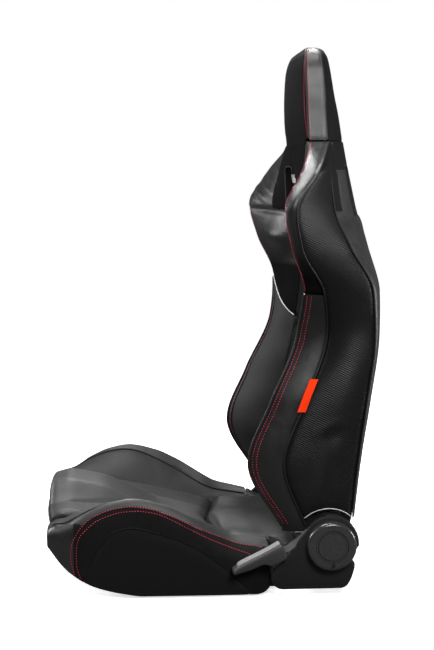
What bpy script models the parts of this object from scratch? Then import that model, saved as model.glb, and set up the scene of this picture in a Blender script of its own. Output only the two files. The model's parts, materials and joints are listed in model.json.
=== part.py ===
"""Reclining racing seat: padded shell, tube frame and lever-released recliners.

Sizes below are in millimetres and the solids are built in metres.  The seat
faces -Y, the occupant's left is +X, and Z = 0 is the floor mounting plane.
"""
import math

import bmesh
import bpy
from mathutils import Vector

MM = 0.001

# Fits and skins
FIT = 0.3                 # gap between pieces that seat on each other
SEAM = 0.8                # gap between two sewn pads
PANEL_GAP = 1.2           # gap behind the stretched side panels
RUN = 0.5                 # running gap between recliner halves
SKIN = 3.0                # vinyl side panels with their backing
SHELL = 4.0               # moulded back panel
CHANNEL = 4.0             # depth of the sewn lines between pads

# Recline axis, which places the backrest and the rear of the base
HINGE_Y = 176.0
HINGE_Z = 92.0

# Heights of the backrest's named levels
HEAD_TOP_Z = 952.0
HEAD_HEIGHT = 170.0
TAIL_Z = HINGE_Z - 20.0   # lower edge of the lumbar pad's tail
TAIL_CLEAR = 9.0          # space between that tail and the recline axis
BACK_BOTTOM_Z = HINGE_Z + 20.0
HEAD_SEAM_Z = HEAD_TOP_Z - HEAD_HEIGHT
BACK_HEIGHT = HEAD_SEAM_Z - BACK_BOTTOM_Z
LUMBAR_Z = BACK_BOTTOM_Z + 0.170 * BACK_HEIGHT
RIB_Z = BACK_BOTTOM_Z + 0.325 * BACK_HEIGHT
WAIST_Z = BACK_BOTTOM_Z + 0.4985 * BACK_HEIGHT
SPLIT_Z = BACK_BOTTOM_Z + 0.609 * BACK_HEIGHT
ARMPIT_Z = BACK_BOTTOM_Z + 0.7285 * BACK_HEIGHT
SHOULDER_Z = BACK_BOTTOM_Z + 0.8255 * BACK_HEIGHT
NECK_Z = BACK_BOTTOM_Z + 0.915 * BACK_HEIGHT

# Half widths that drive the backrest
HIP_HALF = 222.0
WAIST_HALF = HIP_HALF - 22.0
SHOULDER_HALF = 300.0
INSERT_HALF = 134.0
THROAT_HALF = 84.0
STRIP_FLARE = 13.0        # side strip runs outwards behind the ridge
PANEL_CROWN = 8.0         # outward bow of the side panels
STRIP_CROWN = 3.0         # padding bow on the side strips
SPLIT_SLOPE = 1.5         # rise of the wing seam per unit of width

# Harness slots, between the throat and the shoulder
SLOT_X = THROAT_HALF + 34.0
SLOT_Z = SHOULDER_Z + 0.517 * (NECK_Z - SHOULDER_Z)
SLOT_WIDTH = 36.0
SLOT_HEIGHT = 1.4 * (NECK_Z - SHOULDER_Z)
SLOT_REACH = 40.0         # cutters run this far past both faces
SLEEVE_WALL = 3.0
SLEEVE_PROUD = 1.2

# Headrest
HEAD_HALF = 143.0
NECK_HALF = HEAD_HALF + 7.0
HEAD_WALL = 8.0
HEAD_TAPER = 3.0
HEAD_LEAN = 0.19          # forward lean of the frame inside the headrest

# Cushion
CUSHION_HALF = HIP_HALF + 36.0
CENTRE_HALF = HIP_HALF - 52.0
CUSHION_END_Y = HINGE_Y - 104.0
SEAT_FRONT_Y = -318.0
FRONT_BOW = 10.0
DRAWN_END_Y = 72.0        # rear end of the cushion as its curves are drawn
DRAWN_LENGTH = 390.0      # its length there
POMMEL_HALF = 100.0
POMMEL_RISE = 18.0
HIP_TIP_Y = CUSHION_END_Y - 94.0
HIP_CORNER_Y = CUSHION_END_Y - 67.0
HIP_REAR_Y = HINGE_Y - 44.0
HIP_TOP_Z = HINGE_Z - 12.0
APRON_TOP_Z = 112.0

# Base frame
MEMBER_HALF = HIP_HALF - 18.0     # outer face of the side members
MEMBER_WIDTH = 25.0
MEMBER_HEIGHT = 40.0
MEMBER_WALL = 2.5
MEMBER_FRONT_Y = SEAT_FRONT_Y + 146.0
MEMBER_REAR_Y = HINGE_Y + 32.0
CROSS_RADIUS = 12.5
FRONT_CROSS_Y = MEMBER_FRONT_Y + 18.0
REAR_CROSS_Y = HINGE_Y - 12.0
STRAP_WIDTH = 32.0
STRAP_THICK = 4.0
MOUNT_FRONT_Y = MEMBER_FRONT_Y + 44.0
MOUNT_REAR_Y = MEMBER_REAR_Y - 16.0
NUT_ACROSS = 13.0
NUT_HEIGHT = 6.5
NUT_BORE = 6.8
SPRING_WIRE = 4.0
SPRING_COUNT = 4
SPRING_PITCH = 0.46 * CENTRE_HALF
SPRING_SWING = 24.0
SPRING_WAVES = 7

# Recliner stack, inside to outside
HEM_RADIUS = 52.0         # arch in the side panels' lower edge
HUB_ARCH = 40.0           # arch in the foam behind it
ARM_INSIDE = HIP_HALF - 0.5
ARM_THICK = 5.0
ARM_HUB = 36.0
ARM_HALF = 11.0
ARM_TOP_Z = HINGE_Z + 243.0
MOVING_DISC = 9.6
FIXED_DISC = 9.8
DISC_RADIUS = 35.0
PLATE_THICK = 5.0
POST_RADIUS = 9.0
POST_BORE = 10.8
ROD_RADIUS = 5.0
COIL_WIDTH = 8.0
COIL_STRIP = 1.6
COIL_TURNS = 3
COIL_OUTER = 31.0
PIN_RADIUS = 3.5
LEVER_THICK = 4.0
LEVER_HUB = 13.0
COVER_WALL = 2.5
COVER_RADIUS = 49.0
CAP_RADIUS = 42.5
CAP_THICK = 18.0
CAP_EDGE = 3.0
CAP_GROOVE = 26.0
BOLT_HEAD = 8.0
BOLT_SHANK = 5.0
BOLT_FRONT_Y = HINGE_Y - 27.0
BOLT_REAR_Y = HINGE_Y
FOOT_FRONT_Y = HINGE_Y - 40.0
FOOT_REAR_Y = HINGE_Y + 30.0

# Lever grip
GRIP_INSIDE = CUSHION_HALF + 3.0
GRIP_WIDTH = 27.0

# Back frame
HOOP_LOW_Z = BACK_BOTTOM_Z + 38.0
HOOP_TOP_Z = HEAD_TOP_Z - 44.0
HOOP_BEND = 40.0
HOOP_HEAD_HALF = 45.0
TUBE_RADIUS = 11.0
TUBE_BACKSET = 12.5       # tube centre behind the foam
BAR_RADIUS = 8.0
BAR_LOW_Z = HOOP_LOW_Z + 10.0
BAR_HIGH_Z = SHOULDER_Z - 23.0
BACK_SPRINGS = 4
BACK_SPRING_LOW_Z = LUMBAR_Z - 11.0
BACK_SPRING_PITCH = (WAIST_Z - LUMBAR_Z + 14.0) / (BACK_SPRINGS - 1)
BACK_SPRING_SWING = 14.0

# Tag on the left seam
TAG_LOW_Z = RIB_Z - 14.0
TAG_HIGH_Z = TAG_LOW_Z + 56.0
TAG_WIDTH = 14.0
TAG_THICK = 1.4
TAG_LIFT = 1.3

HINGE = Vector((0.0, HINGE_Y, HINGE_Z))
ORIGIN = Vector((0.0, 0.0, 0.0))

# Recliner planes, each one taken from the piece inside it
ARM_OUTSIDE = ARM_INSIDE + ARM_THICK
MOVING_IN = ARM_OUTSIDE + FIT
MOVING_OUT = MOVING_IN + MOVING_DISC
FIXED_IN = MOVING_OUT + RUN
FIXED_OUT = FIXED_IN + FIXED_DISC
PLATE_IN = FIXED_OUT + FIT
PLATE_OUT = PLATE_IN + PLATE_THICK
COIL_IN = PLATE_OUT + 1.0
COIL_OUT = COIL_IN + COIL_WIDTH
POST_OUT = COIL_OUT + RUN
LEVER_IN = POST_OUT + 1.0
LEVER_OUT = LEVER_IN + LEVER_THICK
COVER_IN = PLATE_OUT + FIT
FACE_IN = LEVER_OUT + 2.0
COVER_OUT = FACE_IN + COVER_WALL
CAP_IN = COVER_OUT + FIT
CAP_OUT = CAP_IN + CAP_THICK
MEMBER_IN = MEMBER_HALF - MEMBER_WIDTH
LEG_X = ARM_INSIDE - FIT - TUBE_RADIUS

SIDES = (("left", 1.0), ("right", -1.0))


def spline(rows):
    """Return a smooth curve through (position, value) rows without overshoot."""
    rows = sorted(rows)
    xs = [row[0] for row in rows]
    ys = [row[1] for row in rows]
    rises = [(ys[i + 1] - ys[i]) / (xs[i + 1] - xs[i]) for i in range(len(xs) - 1)]
    slopes = [rises[0]]
    for a, b in zip(rises, rises[1:]):
        slopes.append(0.0 if a * b <= 0.0 else 2.0 * a * b / (a + b))
    slopes.append(rises[-1])

    def value(x):
        if x <= xs[0]:
            return ys[0]
        if x >= xs[-1]:
            return ys[-1]
        i = max(k for k in range(len(xs) - 1) if xs[k] <= x)
        span = xs[i + 1] - xs[i]
        t = (x - xs[i]) / span
        a = (2 * t ** 3 - 3 * t ** 2 + 1) * ys[i] + (t ** 3 - 2 * t ** 2 + t) * span * slopes[i]
        b = (3 * t ** 2 - 2 * t ** 3) * ys[i + 1] + (t ** 3 - t ** 2) * span * slopes[i + 1]
        return a + b

    return value


LEVELS = (BACK_BOTTOM_Z, LUMBAR_Z, RIB_Z, WAIST_Z, SPLIT_Z, ARMPIT_Z, SHOULDER_Z, NECK_Z, HEAD_SEAM_Z)
HEAD_LEVELS = (HEAD_SEAM_Z, HEAD_SEAM_Z + 48, HEAD_TOP_Z - 87, HEAD_TOP_Z - 42, HEAD_TOP_Z - 19,
               HEAD_TOP_Z - 7, HEAD_TOP_Z)


def levels(*values):
    """Return the curve that takes these values at the backrest's named levels."""
    return spline(list(zip(LEVELS, values)))


def depths(*values):
    """Return a depth curve from distances behind the recline axis."""
    return levels(*[HINGE_Y + value for value in values])


def head_levels(*values):
    """Return the curve that takes these values at the headrest's levels."""
    return spline(list(zip(HEAD_LEVELS, values)))


def head_depths(*values):
    """Return a headrest depth curve from distances behind the recline axis."""
    return head_levels(*[HINGE_Y + value for value in values])


def along(y):
    """Return a drawn place on the cushion, stretched to the cushion's real length."""
    return CUSHION_END_Y + (y - DRAWN_END_Y) * (CUSHION_END_Y - SEAT_FRONT_Y) / DRAWN_LENGTH


def cushion_curve(*rows):
    """Return a curve over the cushion's depth from drawn (place, value) rows."""
    return spline([(along(y), value) for y, value in rows])


# Backrest curves over height: depths are along Y, widths along X
ridge_depth = depths(-78, -137, -99, -51, -43, -71, -86, -56, -21)
ridge_half = levels(HIP_HALF, HIP_HALF, HIP_HALF - 3, WAIST_HALF, WAIST_HALF + 27,
                    SHOULDER_HALF - 24, SHOULDER_HALF, SHOULDER_HALF - 28, NECK_HALF)
strip_depth = levels(40, 60, 57, 50, 33, 15, 18, 27, 29)
piping_depth = depths(40, 52, 66, 80, 77, 37, 11, 6, 15)
piping_half = levels(HIP_HALF + 14, HIP_HALF + 14, HIP_HALF + 14, HIP_HALF + 12, HIP_HALF + 9,
                     HIP_HALF, HIP_HALF - 12, HIP_HALF - 21, NECK_HALF + 2)
front_depth = depths(-28, -48, -37, -16, -9, -7, -10, -22, -34)
inner_half = levels(INSERT_HALF + 4, INSERT_HALF, INSERT_HALF - 5, INSERT_HALF - 12, INSERT_HALF - 12,
                    INSERT_HALF - 14, THROAT_HALF, THROAT_HALF, HEAD_HALF - HEAD_WALL - 1)
cavity_depth = depths(21, 22, 24, 33, 35, 28, 20, 15, 12)
spine_depth = depths(62, 76, 94, 109, 112, 98, 78, 64, 54)
face_crown = levels(9, 9, 9, 8, 7, 5, 3, 3, 4)
crown_power = levels(0.6, 0.6, 0.6, 0.6, 0.62, 0.75, 0.8, 0.8, 0.8)

# Headrest curves over height
head_half = head_levels(HEAD_HALF + 6, HEAD_HALF, HEAD_HALF - 3, HEAD_HALF - 11, HEAD_HALF - 27,
                        HEAD_HALF - 51, HEAD_HALF - 78)
head_front = head_depths(-25, -29, -32, -35, -34, -28, -18)
head_seam = head_depths(8, 4, 0, -5, -6, -5, -4)
head_rear = head_depths(54, 46, 38, 30, 23, 13, 2)
pad_front = head_depths(-35, -40, -40, -38, -35, -31, -28)

# Cushion curves over depth
BOLSTER_FRONT_Y = SEAT_FRONT_Y + FRONT_BOW
SKIRT_FRONT_Y = along(-246)
SKIRT_REAR_Y = along(36)
ridge_top = cushion_curve((-308, 96), (-285, 110), (-258, 137), (-240, 149), (-201, 165), (-165, 171),
                          (-109, 159), (-70, 141), (-38, 124), (-13, 110), (12, 97), (72, 79))
ridge_inset = cushion_curve((-308, 18), (-70, 18), (-38, 32), (-13, 46), (40, 54), (72, 72))
side_bottom = cushion_curve((-308, 86), (-298, 74), (-286, 60), (-266, 42), (-223, 20), (-180, 9),
                            (-145, 4), (72, 3))
side_half = cushion_curve((-308, CUSHION_HALF - 24), (-285, CUSHION_HALF - 10),
                          (-262, CUSHION_HALF - 4), (-250, CUSHION_HALF), (72, CUSHION_HALF))
centre_top = cushion_curve((-318, 128), (-300, 141), (-280, 142), (-248, 135), (-144, 112),
                           (-68, 92), (0, 76), (72, 74))
pommel = cushion_curve((-318, 0.4 * POMMEL_RISE), (-280, POMMEL_RISE), (-225, POMMEL_RISE),
                       (-164, 0.5 * POMMEL_RISE), (-124, 0.0))
skirt_top = cushion_curve((-246, 36), (-224, 84), (-194, 115), (-165, 121), (-128, 113),
                          (-64, 89), (-7, 50), (36, 11))
APRON = [(0.0, APRON_TOP_Z), (4.0, 90.0), (14.0, 66.0), (34.0, 44.0), (64.0, 25.0), (98.0, 11.0)]


def steps(first, last, count):
    """Return evenly spaced values from first to last."""
    return [first + (last - first) * i / (count - 1) for i in range(count)]


def bezier(a, c, b, count):
    """Return points on a quadratic curve from a to b pulled towards c."""
    return [a * (1 - t) ** 2 + c * (2 * t * (1 - t)) + b * t ** 2 for t in steps(0.0, 1.0, count)]


def flat(*pair):
    """Return a plane point as a vector."""
    return Vector((pair[0], pair[1], 0.0))


def offset(outline, inset):
    """Move a closed counter-clockwise outline inwards by inset along its corners."""
    moved = []
    for i, point in enumerate(outline):
        before = (point - outline[i - 1]).normalized()
        after = (outline[(i + 1) % len(outline)] - point).normalized()
        normal_a = Vector((-before.y, before.x, 0.0))
        normal_b = Vector((-after.y, after.x, 0.0))
        mid = (normal_a + normal_b).normalized()
        moved.append(point + mid * (inset / max(0.5, mid.dot(normal_a))))
    return moved


def loft(rings):
    """Close a row of equal rings into one solid."""
    body = bmesh.new()
    loops = [[body.verts.new(point) for point in ring] for ring in rings]
    for a, b in zip(loops, loops[1:]):
        for i in range(len(a)):
            j = (i + 1) % len(a)
            body.faces.new((a[i], a[j], b[j], b[i]))
    body.faces.new(loops[0][::-1])
    body.faces.new(loops[-1])
    bmesh.ops.recalc_face_normals(body, faces=body.faces)
    return body


def plate(outline, x_near, x_far):
    """Extrude a (y, z) outline along X."""
    return loft([[Vector((x, p.x, p.y)) for p in outline] for x in (x_near, x_far)])


def turned(profile, y, z, segments, closed):
    """Revolve (x, radius) points about the X axis through (y, z).

    A closed profile makes a ring with a bore, an open one starts and ends on the axis.
    """
    body = bmesh.new()
    angles = [2 * math.pi * i / segments for i in range(segments)]
    rows = []
    for x, radius in profile:
        if radius == 0.0:
            rows.append([body.verts.new((x, y, z))] * segments)
        else:
            rows.append([body.verts.new((x, y + radius * math.cos(a), z + radius * math.sin(a)))
                         for a in angles])
    pairs = list(zip(rows, rows[1:]))
    if closed:
        pairs.append((rows[-1], rows[0]))
    for a, b in pairs:
        for i in range(segments):
            j = (i + 1) % segments
            corners = []
            for vert in (a[i], a[j], b[j], b[i]):
                if vert not in corners:
                    corners.append(vert)
            body.faces.new(corners)
    bmesh.ops.recalc_face_normals(body, faces=body.faces)
    return body


def disc(x_near, x_far, radius, y, z, segments=24):
    """Return a plain cylinder along X."""
    return turned([(x_near, 0.0), (x_near, radius), (x_far, radius), (x_far, 0.0)], y, z, segments, False)


def ring(x_near, x_far, radius, bore, y, z, segments=24):
    """Return a cylinder along X with a bore."""
    return turned([(x_near, bore), (x_near, radius), (x_far, radius), (x_far, bore)], y, z, segments, True)


def block(low, high):
    """Return a box between two corners."""
    corners = [flat(low[1], low[2]), flat(high[1], low[2]), flat(high[1], high[2]), flat(low[1], high[2])]
    return plate(corners, low[0], high[0])


def mirrored(body, side):
    """Flip a solid built on the left to the right-hand side when side is negative."""
    if side < 0:
        for vert in body.verts:
            vert.co.x = -vert.co.x
        bmesh.ops.reverse_faces(body, faces=body.faces)
        body.normal_update()
    return body


def finish(name, colour, roughness, metallic=0.0):
    """Return a plain surface finish."""
    material = bpy.data.materials.new(name)
    material.use_nodes = True
    shader = material.node_tree.nodes["Principled BSDF"]
    shader.inputs["Base Color"].default_value = (*colour, 1.0)
    shader.inputs["Roughness"].default_value = roughness
    shader.inputs["Metallic"].default_value = metallic
    return material


class Assembly:
    """One moving body: an empty on its axis and the nodes that ride with it."""

    def __init__(self, name, pivot):
        self.pivot = pivot
        self.frame = None
        if pivot != ORIGIN:
            self.frame = bpy.data.objects.new(name, None)
            self.frame.location = pivot * MM
            bpy.context.scene.collection.objects.link(self.frame)

    def place(self, item, material):
        """Link a finished object to the scene under this body's empty."""
        bpy.context.scene.collection.objects.link(item)
        item.data.materials.append(material)
        item.parent = self.frame
        return item

    def solid(self, name, body, material, smooth=35.0):
        """Add a closed solid as a named node."""
        for vert in body.verts:
            vert.co = (vert.co - self.pivot) * MM
        for edge in body.edges:
            edge.smooth = edge.calc_face_angle(0.0) < math.radians(smooth)
        for face in body.faces:
            face.smooth = True
        mesh = bpy.data.meshes.new(name)
        body.to_mesh(mesh)
        body.free()
        return self.place(bpy.data.objects.new(name, mesh), material)

    def tube(self, name, points, radius, material, sides):
        """Add a round bar along a row of points as a named node."""
        data = bpy.data.curves.new(name, "CURVE")
        data.dimensions = "3D"
        data.bevel_depth = radius * MM
        data.bevel_resolution = sides
        data.use_fill_caps = True
        route = data.splines.new("POLY")
        route.points.add(len(points) - 1)
        route.use_smooth = True
        for slot, point in zip(route.points, points):
            slot.co = (*((point - self.pivot) * MM), 1.0)
        return self.place(bpy.data.objects.new(name, data), material)

    def cutter(self, name, body):
        """Add a hidden solid that other nodes subtract."""
        item = self.solid(name, body, CUT)
        item.hide_render = True
        item.display_type = "WIRE"
        return item


def combine(item, tool, operation):
    """Apply a tool solid to a node with an exact boolean."""
    step = item.modifiers.new(operation.lower() + "_" + tool.name, "BOOLEAN")
    step.operation = operation
    step.solver = "EXACT"
    step.object = tool


def subtract(item, tool):
    """Cut a tool out of a node."""
    combine(item, tool, "DIFFERENCE")


def weld(item, tool):
    """Fuse a tool onto a node."""
    combine(item, tool, "UNION")


# Start from an empty scene
for old in list(bpy.data.objects):
    bpy.data.objects.remove(old, do_unlink=True)

CUT = finish("cutter", (1.0, 1.0, 1.0), 1.0)
LEATHER = finish("leather", (0.030, 0.030, 0.033), 0.42)
SUEDE = finish("suede", (0.022, 0.022, 0.024), 0.90)
WEAVE = finish("carbon_vinyl", (0.045, 0.045, 0.050), 0.38)
LINING = finish("back_lining", (0.040, 0.040, 0.042), 0.60)
STEEL = finish("painted_steel", (0.060, 0.060, 0.064), 0.45, 0.6)
BRIGHT = finish("bright_steel", (0.55, 0.55, 0.56), 0.30, 1.0)
WIRE = finish("spring_steel", (0.30, 0.30, 0.31), 0.35, 1.0)
PLASTIC = finish("moulded_plastic", (0.040, 0.040, 0.042), 0.55)
SILVER = finish("silver_plastic", (0.55, 0.55, 0.56), 0.35)
TAG = finish("tag_cloth", (0.75, 0.06, 0.03), 0.80)

base = Assembly("base_axis", ORIGIN)
back = Assembly("recline_axis", HINGE)
lever = Assembly("lever_axis", HINGE)


# Base frame: two box members, two cross tubes and a centre strap
def member():
    """Return the left box member with open ends."""
    outer = [flat(MEMBER_IN, 0.0), flat(MEMBER_HALF, 0.0), flat(MEMBER_HALF, MEMBER_HEIGHT),
             flat(MEMBER_IN, MEMBER_HEIGHT)]
    inner = offset(outer, MEMBER_WALL)
    body = bmesh.new()
    ends = []
    for y in (MEMBER_FRONT_Y, MEMBER_REAR_Y):
        ends.append([[body.verts.new((p.x, y, p.y)) for p in loop] for loop in (outer, inner)])
    for k in range(4):
        j = (k + 1) % 4
        for loop in (0, 1):
            body.faces.new((ends[0][loop][k], ends[0][loop][j], ends[1][loop][j], ends[1][loop][k]))
        for end in ends:
            body.faces.new((end[0][k], end[0][j], end[1][j], end[1][k]))
    bmesh.ops.recalc_face_normals(body, faces=body.faces)
    return body


def upright(radius, x, y, low, high, segments):
    """Return a round bar along Z."""
    circle = [(radius * math.cos(2 * math.pi * i / segments), radius * math.sin(2 * math.pi * i / segments))
              for i in range(segments)]
    return loft([[Vector((x + a, y + b, z)) for a, b in circle] for z in (low, high)])


MEMBER_MID = MEMBER_HALF - 0.5 * MEMBER_WIDTH
MEMBER_TOP = MEMBER_HEIGHT + FIT
FOOT_TOP = MEMBER_TOP + PLATE_THICK
BOLT_LOW = MEMBER_HEIGHT - 2 * MEMBER_WALL
NUT_ROUND = 0.5 * NUT_ACROSS / math.cos(math.pi / 6)
for label, side in SIDES:
    rail = base.solid("side_member_" + label, mirrored(member(), side), STEEL)
    for end, y in (("front", MOUNT_FRONT_Y), ("rear", MOUNT_REAR_Y)):
        x = side * MEMBER_MID
        nut_top = MEMBER_WALL + NUT_HEIGHT
        nut = upright(NUT_ROUND, x, y, 0.5 * MEMBER_WALL, nut_top, 6)
        weld(rail, base.cutter(f"weld_nut_{label}_{end}", nut))
        thread = upright(0.5 * NUT_BORE, x, y, -MEMBER_WALL, nut_top + MEMBER_WALL, 12)
        subtract(rail, base.cutter(f"thread_{label}_{end}", thread))
    for end, y in (("front", BOLT_FRONT_Y), ("rear", BOLT_REAR_Y)):
        bore = upright(BOLT_SHANK + FIT, side * MEMBER_MID, y, BOLT_LOW, FOOT_TOP + MEMBER_WALL, 12)
        subtract(rail, base.cutter(f"bolt_bore_{label}_{end}", bore))
SPAN = MEMBER_IN - FIT
for label, y in (("front", FRONT_CROSS_Y), ("rear", REAR_CROSS_Y)):
    base.solid(label + "_cross_tube",
               disc(-SPAN, SPAN, CROSS_RADIUS, y, CROSS_RADIUS + STRAP_THICK, 20), STEEL)
strap = block((-SPAN, -0.5 * STRAP_WIDTH, 0.0), (SPAN, 0.5 * STRAP_WIDTH, STRAP_THICK))
base.solid("centre_strap", strap, STEEL)

SPRING_Z = STRAP_THICK + 2 * CROSS_RADIUS + FIT + 0.5 * SPRING_WIRE
FOAM_Z = SPRING_Z + 0.5 * SPRING_WIRE + FIT


def wave(first, last, swing, waves):
    """Return (along, across) points of a sinuous spring between two ends."""
    count = waves * 6
    rows = []
    for i in range(count + 1):
        fade = min(1.0, 3.0 * i / count, 3.0 * (count - i) / count)
        rows.append((first + (last - first) * i / count, swing * fade * math.sin(math.pi * i / 3.0)))
    return rows


for k in range(SPRING_COUNT):
    centre = (k - 0.5 * (SPRING_COUNT - 1)) * SPRING_PITCH
    rows = wave(FRONT_CROSS_Y - 8.0, REAR_CROSS_Y + 8.0, SPRING_SWING, SPRING_WAVES)
    route = [Vector((centre + across, along, SPRING_Z)) for along, across in rows]
    base.tube(f"seat_spring_{k + 1}", route, 0.5 * SPRING_WIRE, WIRE, 0)


# Cushion pads
def front_edge(x):
    """Return the cushion's front at a place across it."""
    return SEAT_FRONT_Y + FRONT_BOW * (x / CENTRE_HALF) ** 2


def hip_edge(x):
    """Return the pointed front edge of the hip pad."""
    return HIP_TIP_Y + (HIP_CORNER_Y - HIP_TIP_Y) * abs(x) / CENTRE_HALF


def apron_side(x, inset):
    """Return the front apron's profile at x, moved inwards by inset."""
    rows = [flat(front_edge(x) + dy, z) for dy, z in APRON]
    moved = []
    for i, point in enumerate(rows):
        run = (rows[min(i + 1, len(rows) - 1)] - rows[max(i - 1, 0)]).normalized()
        moved.append(point + Vector((-run.y, run.x, 0.0)) * inset)
    return moved


def centre_height(x, y):
    """Return the height of the cushion's middle with its pommel and sewn lines."""
    part = min(1.0, abs(x) / POMMEL_HALF)
    rise = pommel(y) * math.cos(0.5 * math.pi * part) ** 2
    line = CHANNEL * max(0.0, 1.0 - abs(abs(x) - POMMEL_HALF) / 6.0) * min(1.0, pommel(y) / 6.0)
    edge = CHANNEL * max(0.0, abs(x) - CENTRE_HALF + 14.0) / 14.0
    return centre_top(y) + rise - line - edge


def centre_ring(x):
    """Return the cushion middle's outline across the seat at x."""
    front = front_edge(x)
    rear = hip_edge(x) - SEAM
    points = []
    for y in steps(rear, front + 20.0, 13):
        drop = 3.0 if y == rear else 0.0
        points.append(flat(y, centre_height(x, y) - drop))
    roll = centre_height(x, front + 20.0)
    low = APRON_TOP_Z + 2.0 * SEAM
    points.append(flat(front + 7.0, low + 0.72 * (roll - low)))
    points.append(flat(front + 1.0, low + 0.30 * (roll - low)))
    points.append(flat(front + 1.5, low))
    for point in apron_side(x, SKIN + FIT):
        if point.y > FOAM_Z + 6.0:
            points.append(point)
    points.append(flat(points[-1].x + 28.0, FOAM_Z))
    points.append(flat(rear, FOAM_Z))
    return [Vector((x, p.x, p.y)) for p in points]


half = CENTRE_HALF
across = [-half, -half + 14, -POMMEL_HALF - 20, -POMMEL_HALF, -POMMEL_HALF + 20, -0.45 * POMMEL_HALF, 0.0]
across = across + [-x for x in reversed(across[:-1])]
base.solid("cushion_centre", loft([centre_ring(x) for x in across]), SUEDE)


def hip_ring(x, front, under):
    """Return the hip pad's outline across the seat at x."""
    side = max(0.0, abs(x) - CENTRE_HALF + 16.0) / 16.0
    top = HIP_TOP_Z - CHANNEL * min(1.0, side)
    rows = [(front, under), (front, top - 8.0), (front + 4.0, top - 1.0), (front + 14.0, top + 2.0),
            (0.5 * (front + HIP_REAR_Y), top - 1.0), (HIP_REAR_Y - 26.0, top - 4.0),
            (HIP_REAR_Y - 6.0, top - 8.0), (HIP_REAR_Y, top - 16.0), (HIP_REAR_Y, under)]
    return [Vector((x, y, z)) for y, z in rows]


hip_rings = [hip_ring(x, hip_edge(x), FOAM_Z) for x in (-half, -half + 16, -80, 0, 80, half - 16, half)]
ear_front = CUSHION_END_Y + SEAM
for x in (half + FIT, HIP_HALF - 2 * TUBE_RADIUS):
    hip_rings = [hip_ring(-x, ear_front, MEMBER_TOP)] + hip_rings + [hip_ring(x, ear_front, MEMBER_TOP)]
base.solid("cushion_hip_pad", loft(hip_rings), SUEDE)


def apron_ring(x):
    """Return the thin front apron's outline at x."""
    outer = apron_side(x, 0.0)
    inner = apron_side(x, SKIN)
    return [Vector((x, p.x, p.y)) for p in outer + inner[::-1]]


base.solid("cushion_apron", loft([apron_ring(x) for x in steps(-half, half, 7)]), LEATHER)

LIP_HALF = MEMBER_HALF + FIT


def bolster_ring(y):
    """Return the left cushion bolster's outline across the seat at y."""
    low = side_bottom(y)
    under = max(MEMBER_TOP, low + 1.0)
    top = ridge_top(y)
    out = side_half(y)
    inner = CENTRE_HALF + SEAM
    start = min(max(centre_top(y), HIP_TOP_Z - 2.0) - CHANNEL, top - 3.0)
    foot = flat(inner, max(start, under + 2.0))
    inset = ridge_inset(y)
    crest = flat(out - inset, top)
    pull = 0.5 * (foot + crest) + Vector((-0.10, 0.22, 0.0)) * (top - foot.y)
    rows = [flat(inner, under)] + bezier(foot, pull, crest, 5)
    height = top - low
    rows.append(flat(out - 0.45 * inset, top - 0.05 * height))
    rows.append(flat(out - 2.5, top - 0.20 * height))
    rows.append(flat(out, top - 0.45 * height))
    rows.append(flat(out, low))
    lip = min(LIP_HALF, out - 8.0)
    rows.append(flat(lip, low))
    rows.append(flat(lip, under))
    return [Vector((p.x, y, p.y)) for p in rows]


def skirt_ring(y, grow):
    """Return the side panel's outline at y, or its recess when grow is positive."""
    low = side_bottom(y) - 6.0 * grow
    high = skirt_top(y) + SEAM * grow
    back_face = CUSHION_HALF - SKIN - FIT * grow
    front_face = CUSHION_HALF + 8.0 * grow
    corners = ((back_face, low), (front_face, low), (front_face, high), (back_face, high))
    return [Vector((x, y, z)) for x, z in corners]


bolster_stops = [BOLSTER_FRONT_Y + back_set for back_set in (0.0, 5.0, 16.0, 28.0)]
bolster_stops = bolster_stops + steps(BOLSTER_FRONT_Y + 44.0, CUSHION_END_Y, 15)
skirt_stops = steps(SKIRT_FRONT_Y, SKIRT_REAR_Y, 15)
recess_stops = [SKIRT_FRONT_Y - SEAM] + skirt_stops[1:-1] + [SKIRT_REAR_Y + SEAM]
for label, side in SIDES:
    pad = base.solid("cushion_bolster_" + label,
                     mirrored(loft([bolster_ring(y) for y in bolster_stops]), side), LEATHER)
    recess = base.cutter("skirt_recess_" + label,
                         mirrored(loft([skirt_ring(y, 1.0) for y in recess_stops]), side))
    subtract(pad, recess)
    base.solid("cushion_side_panel_" + label,
               mirrored(loft([skirt_ring(y, 0.0) for y in skirt_stops]), side), WEAVE)


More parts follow.
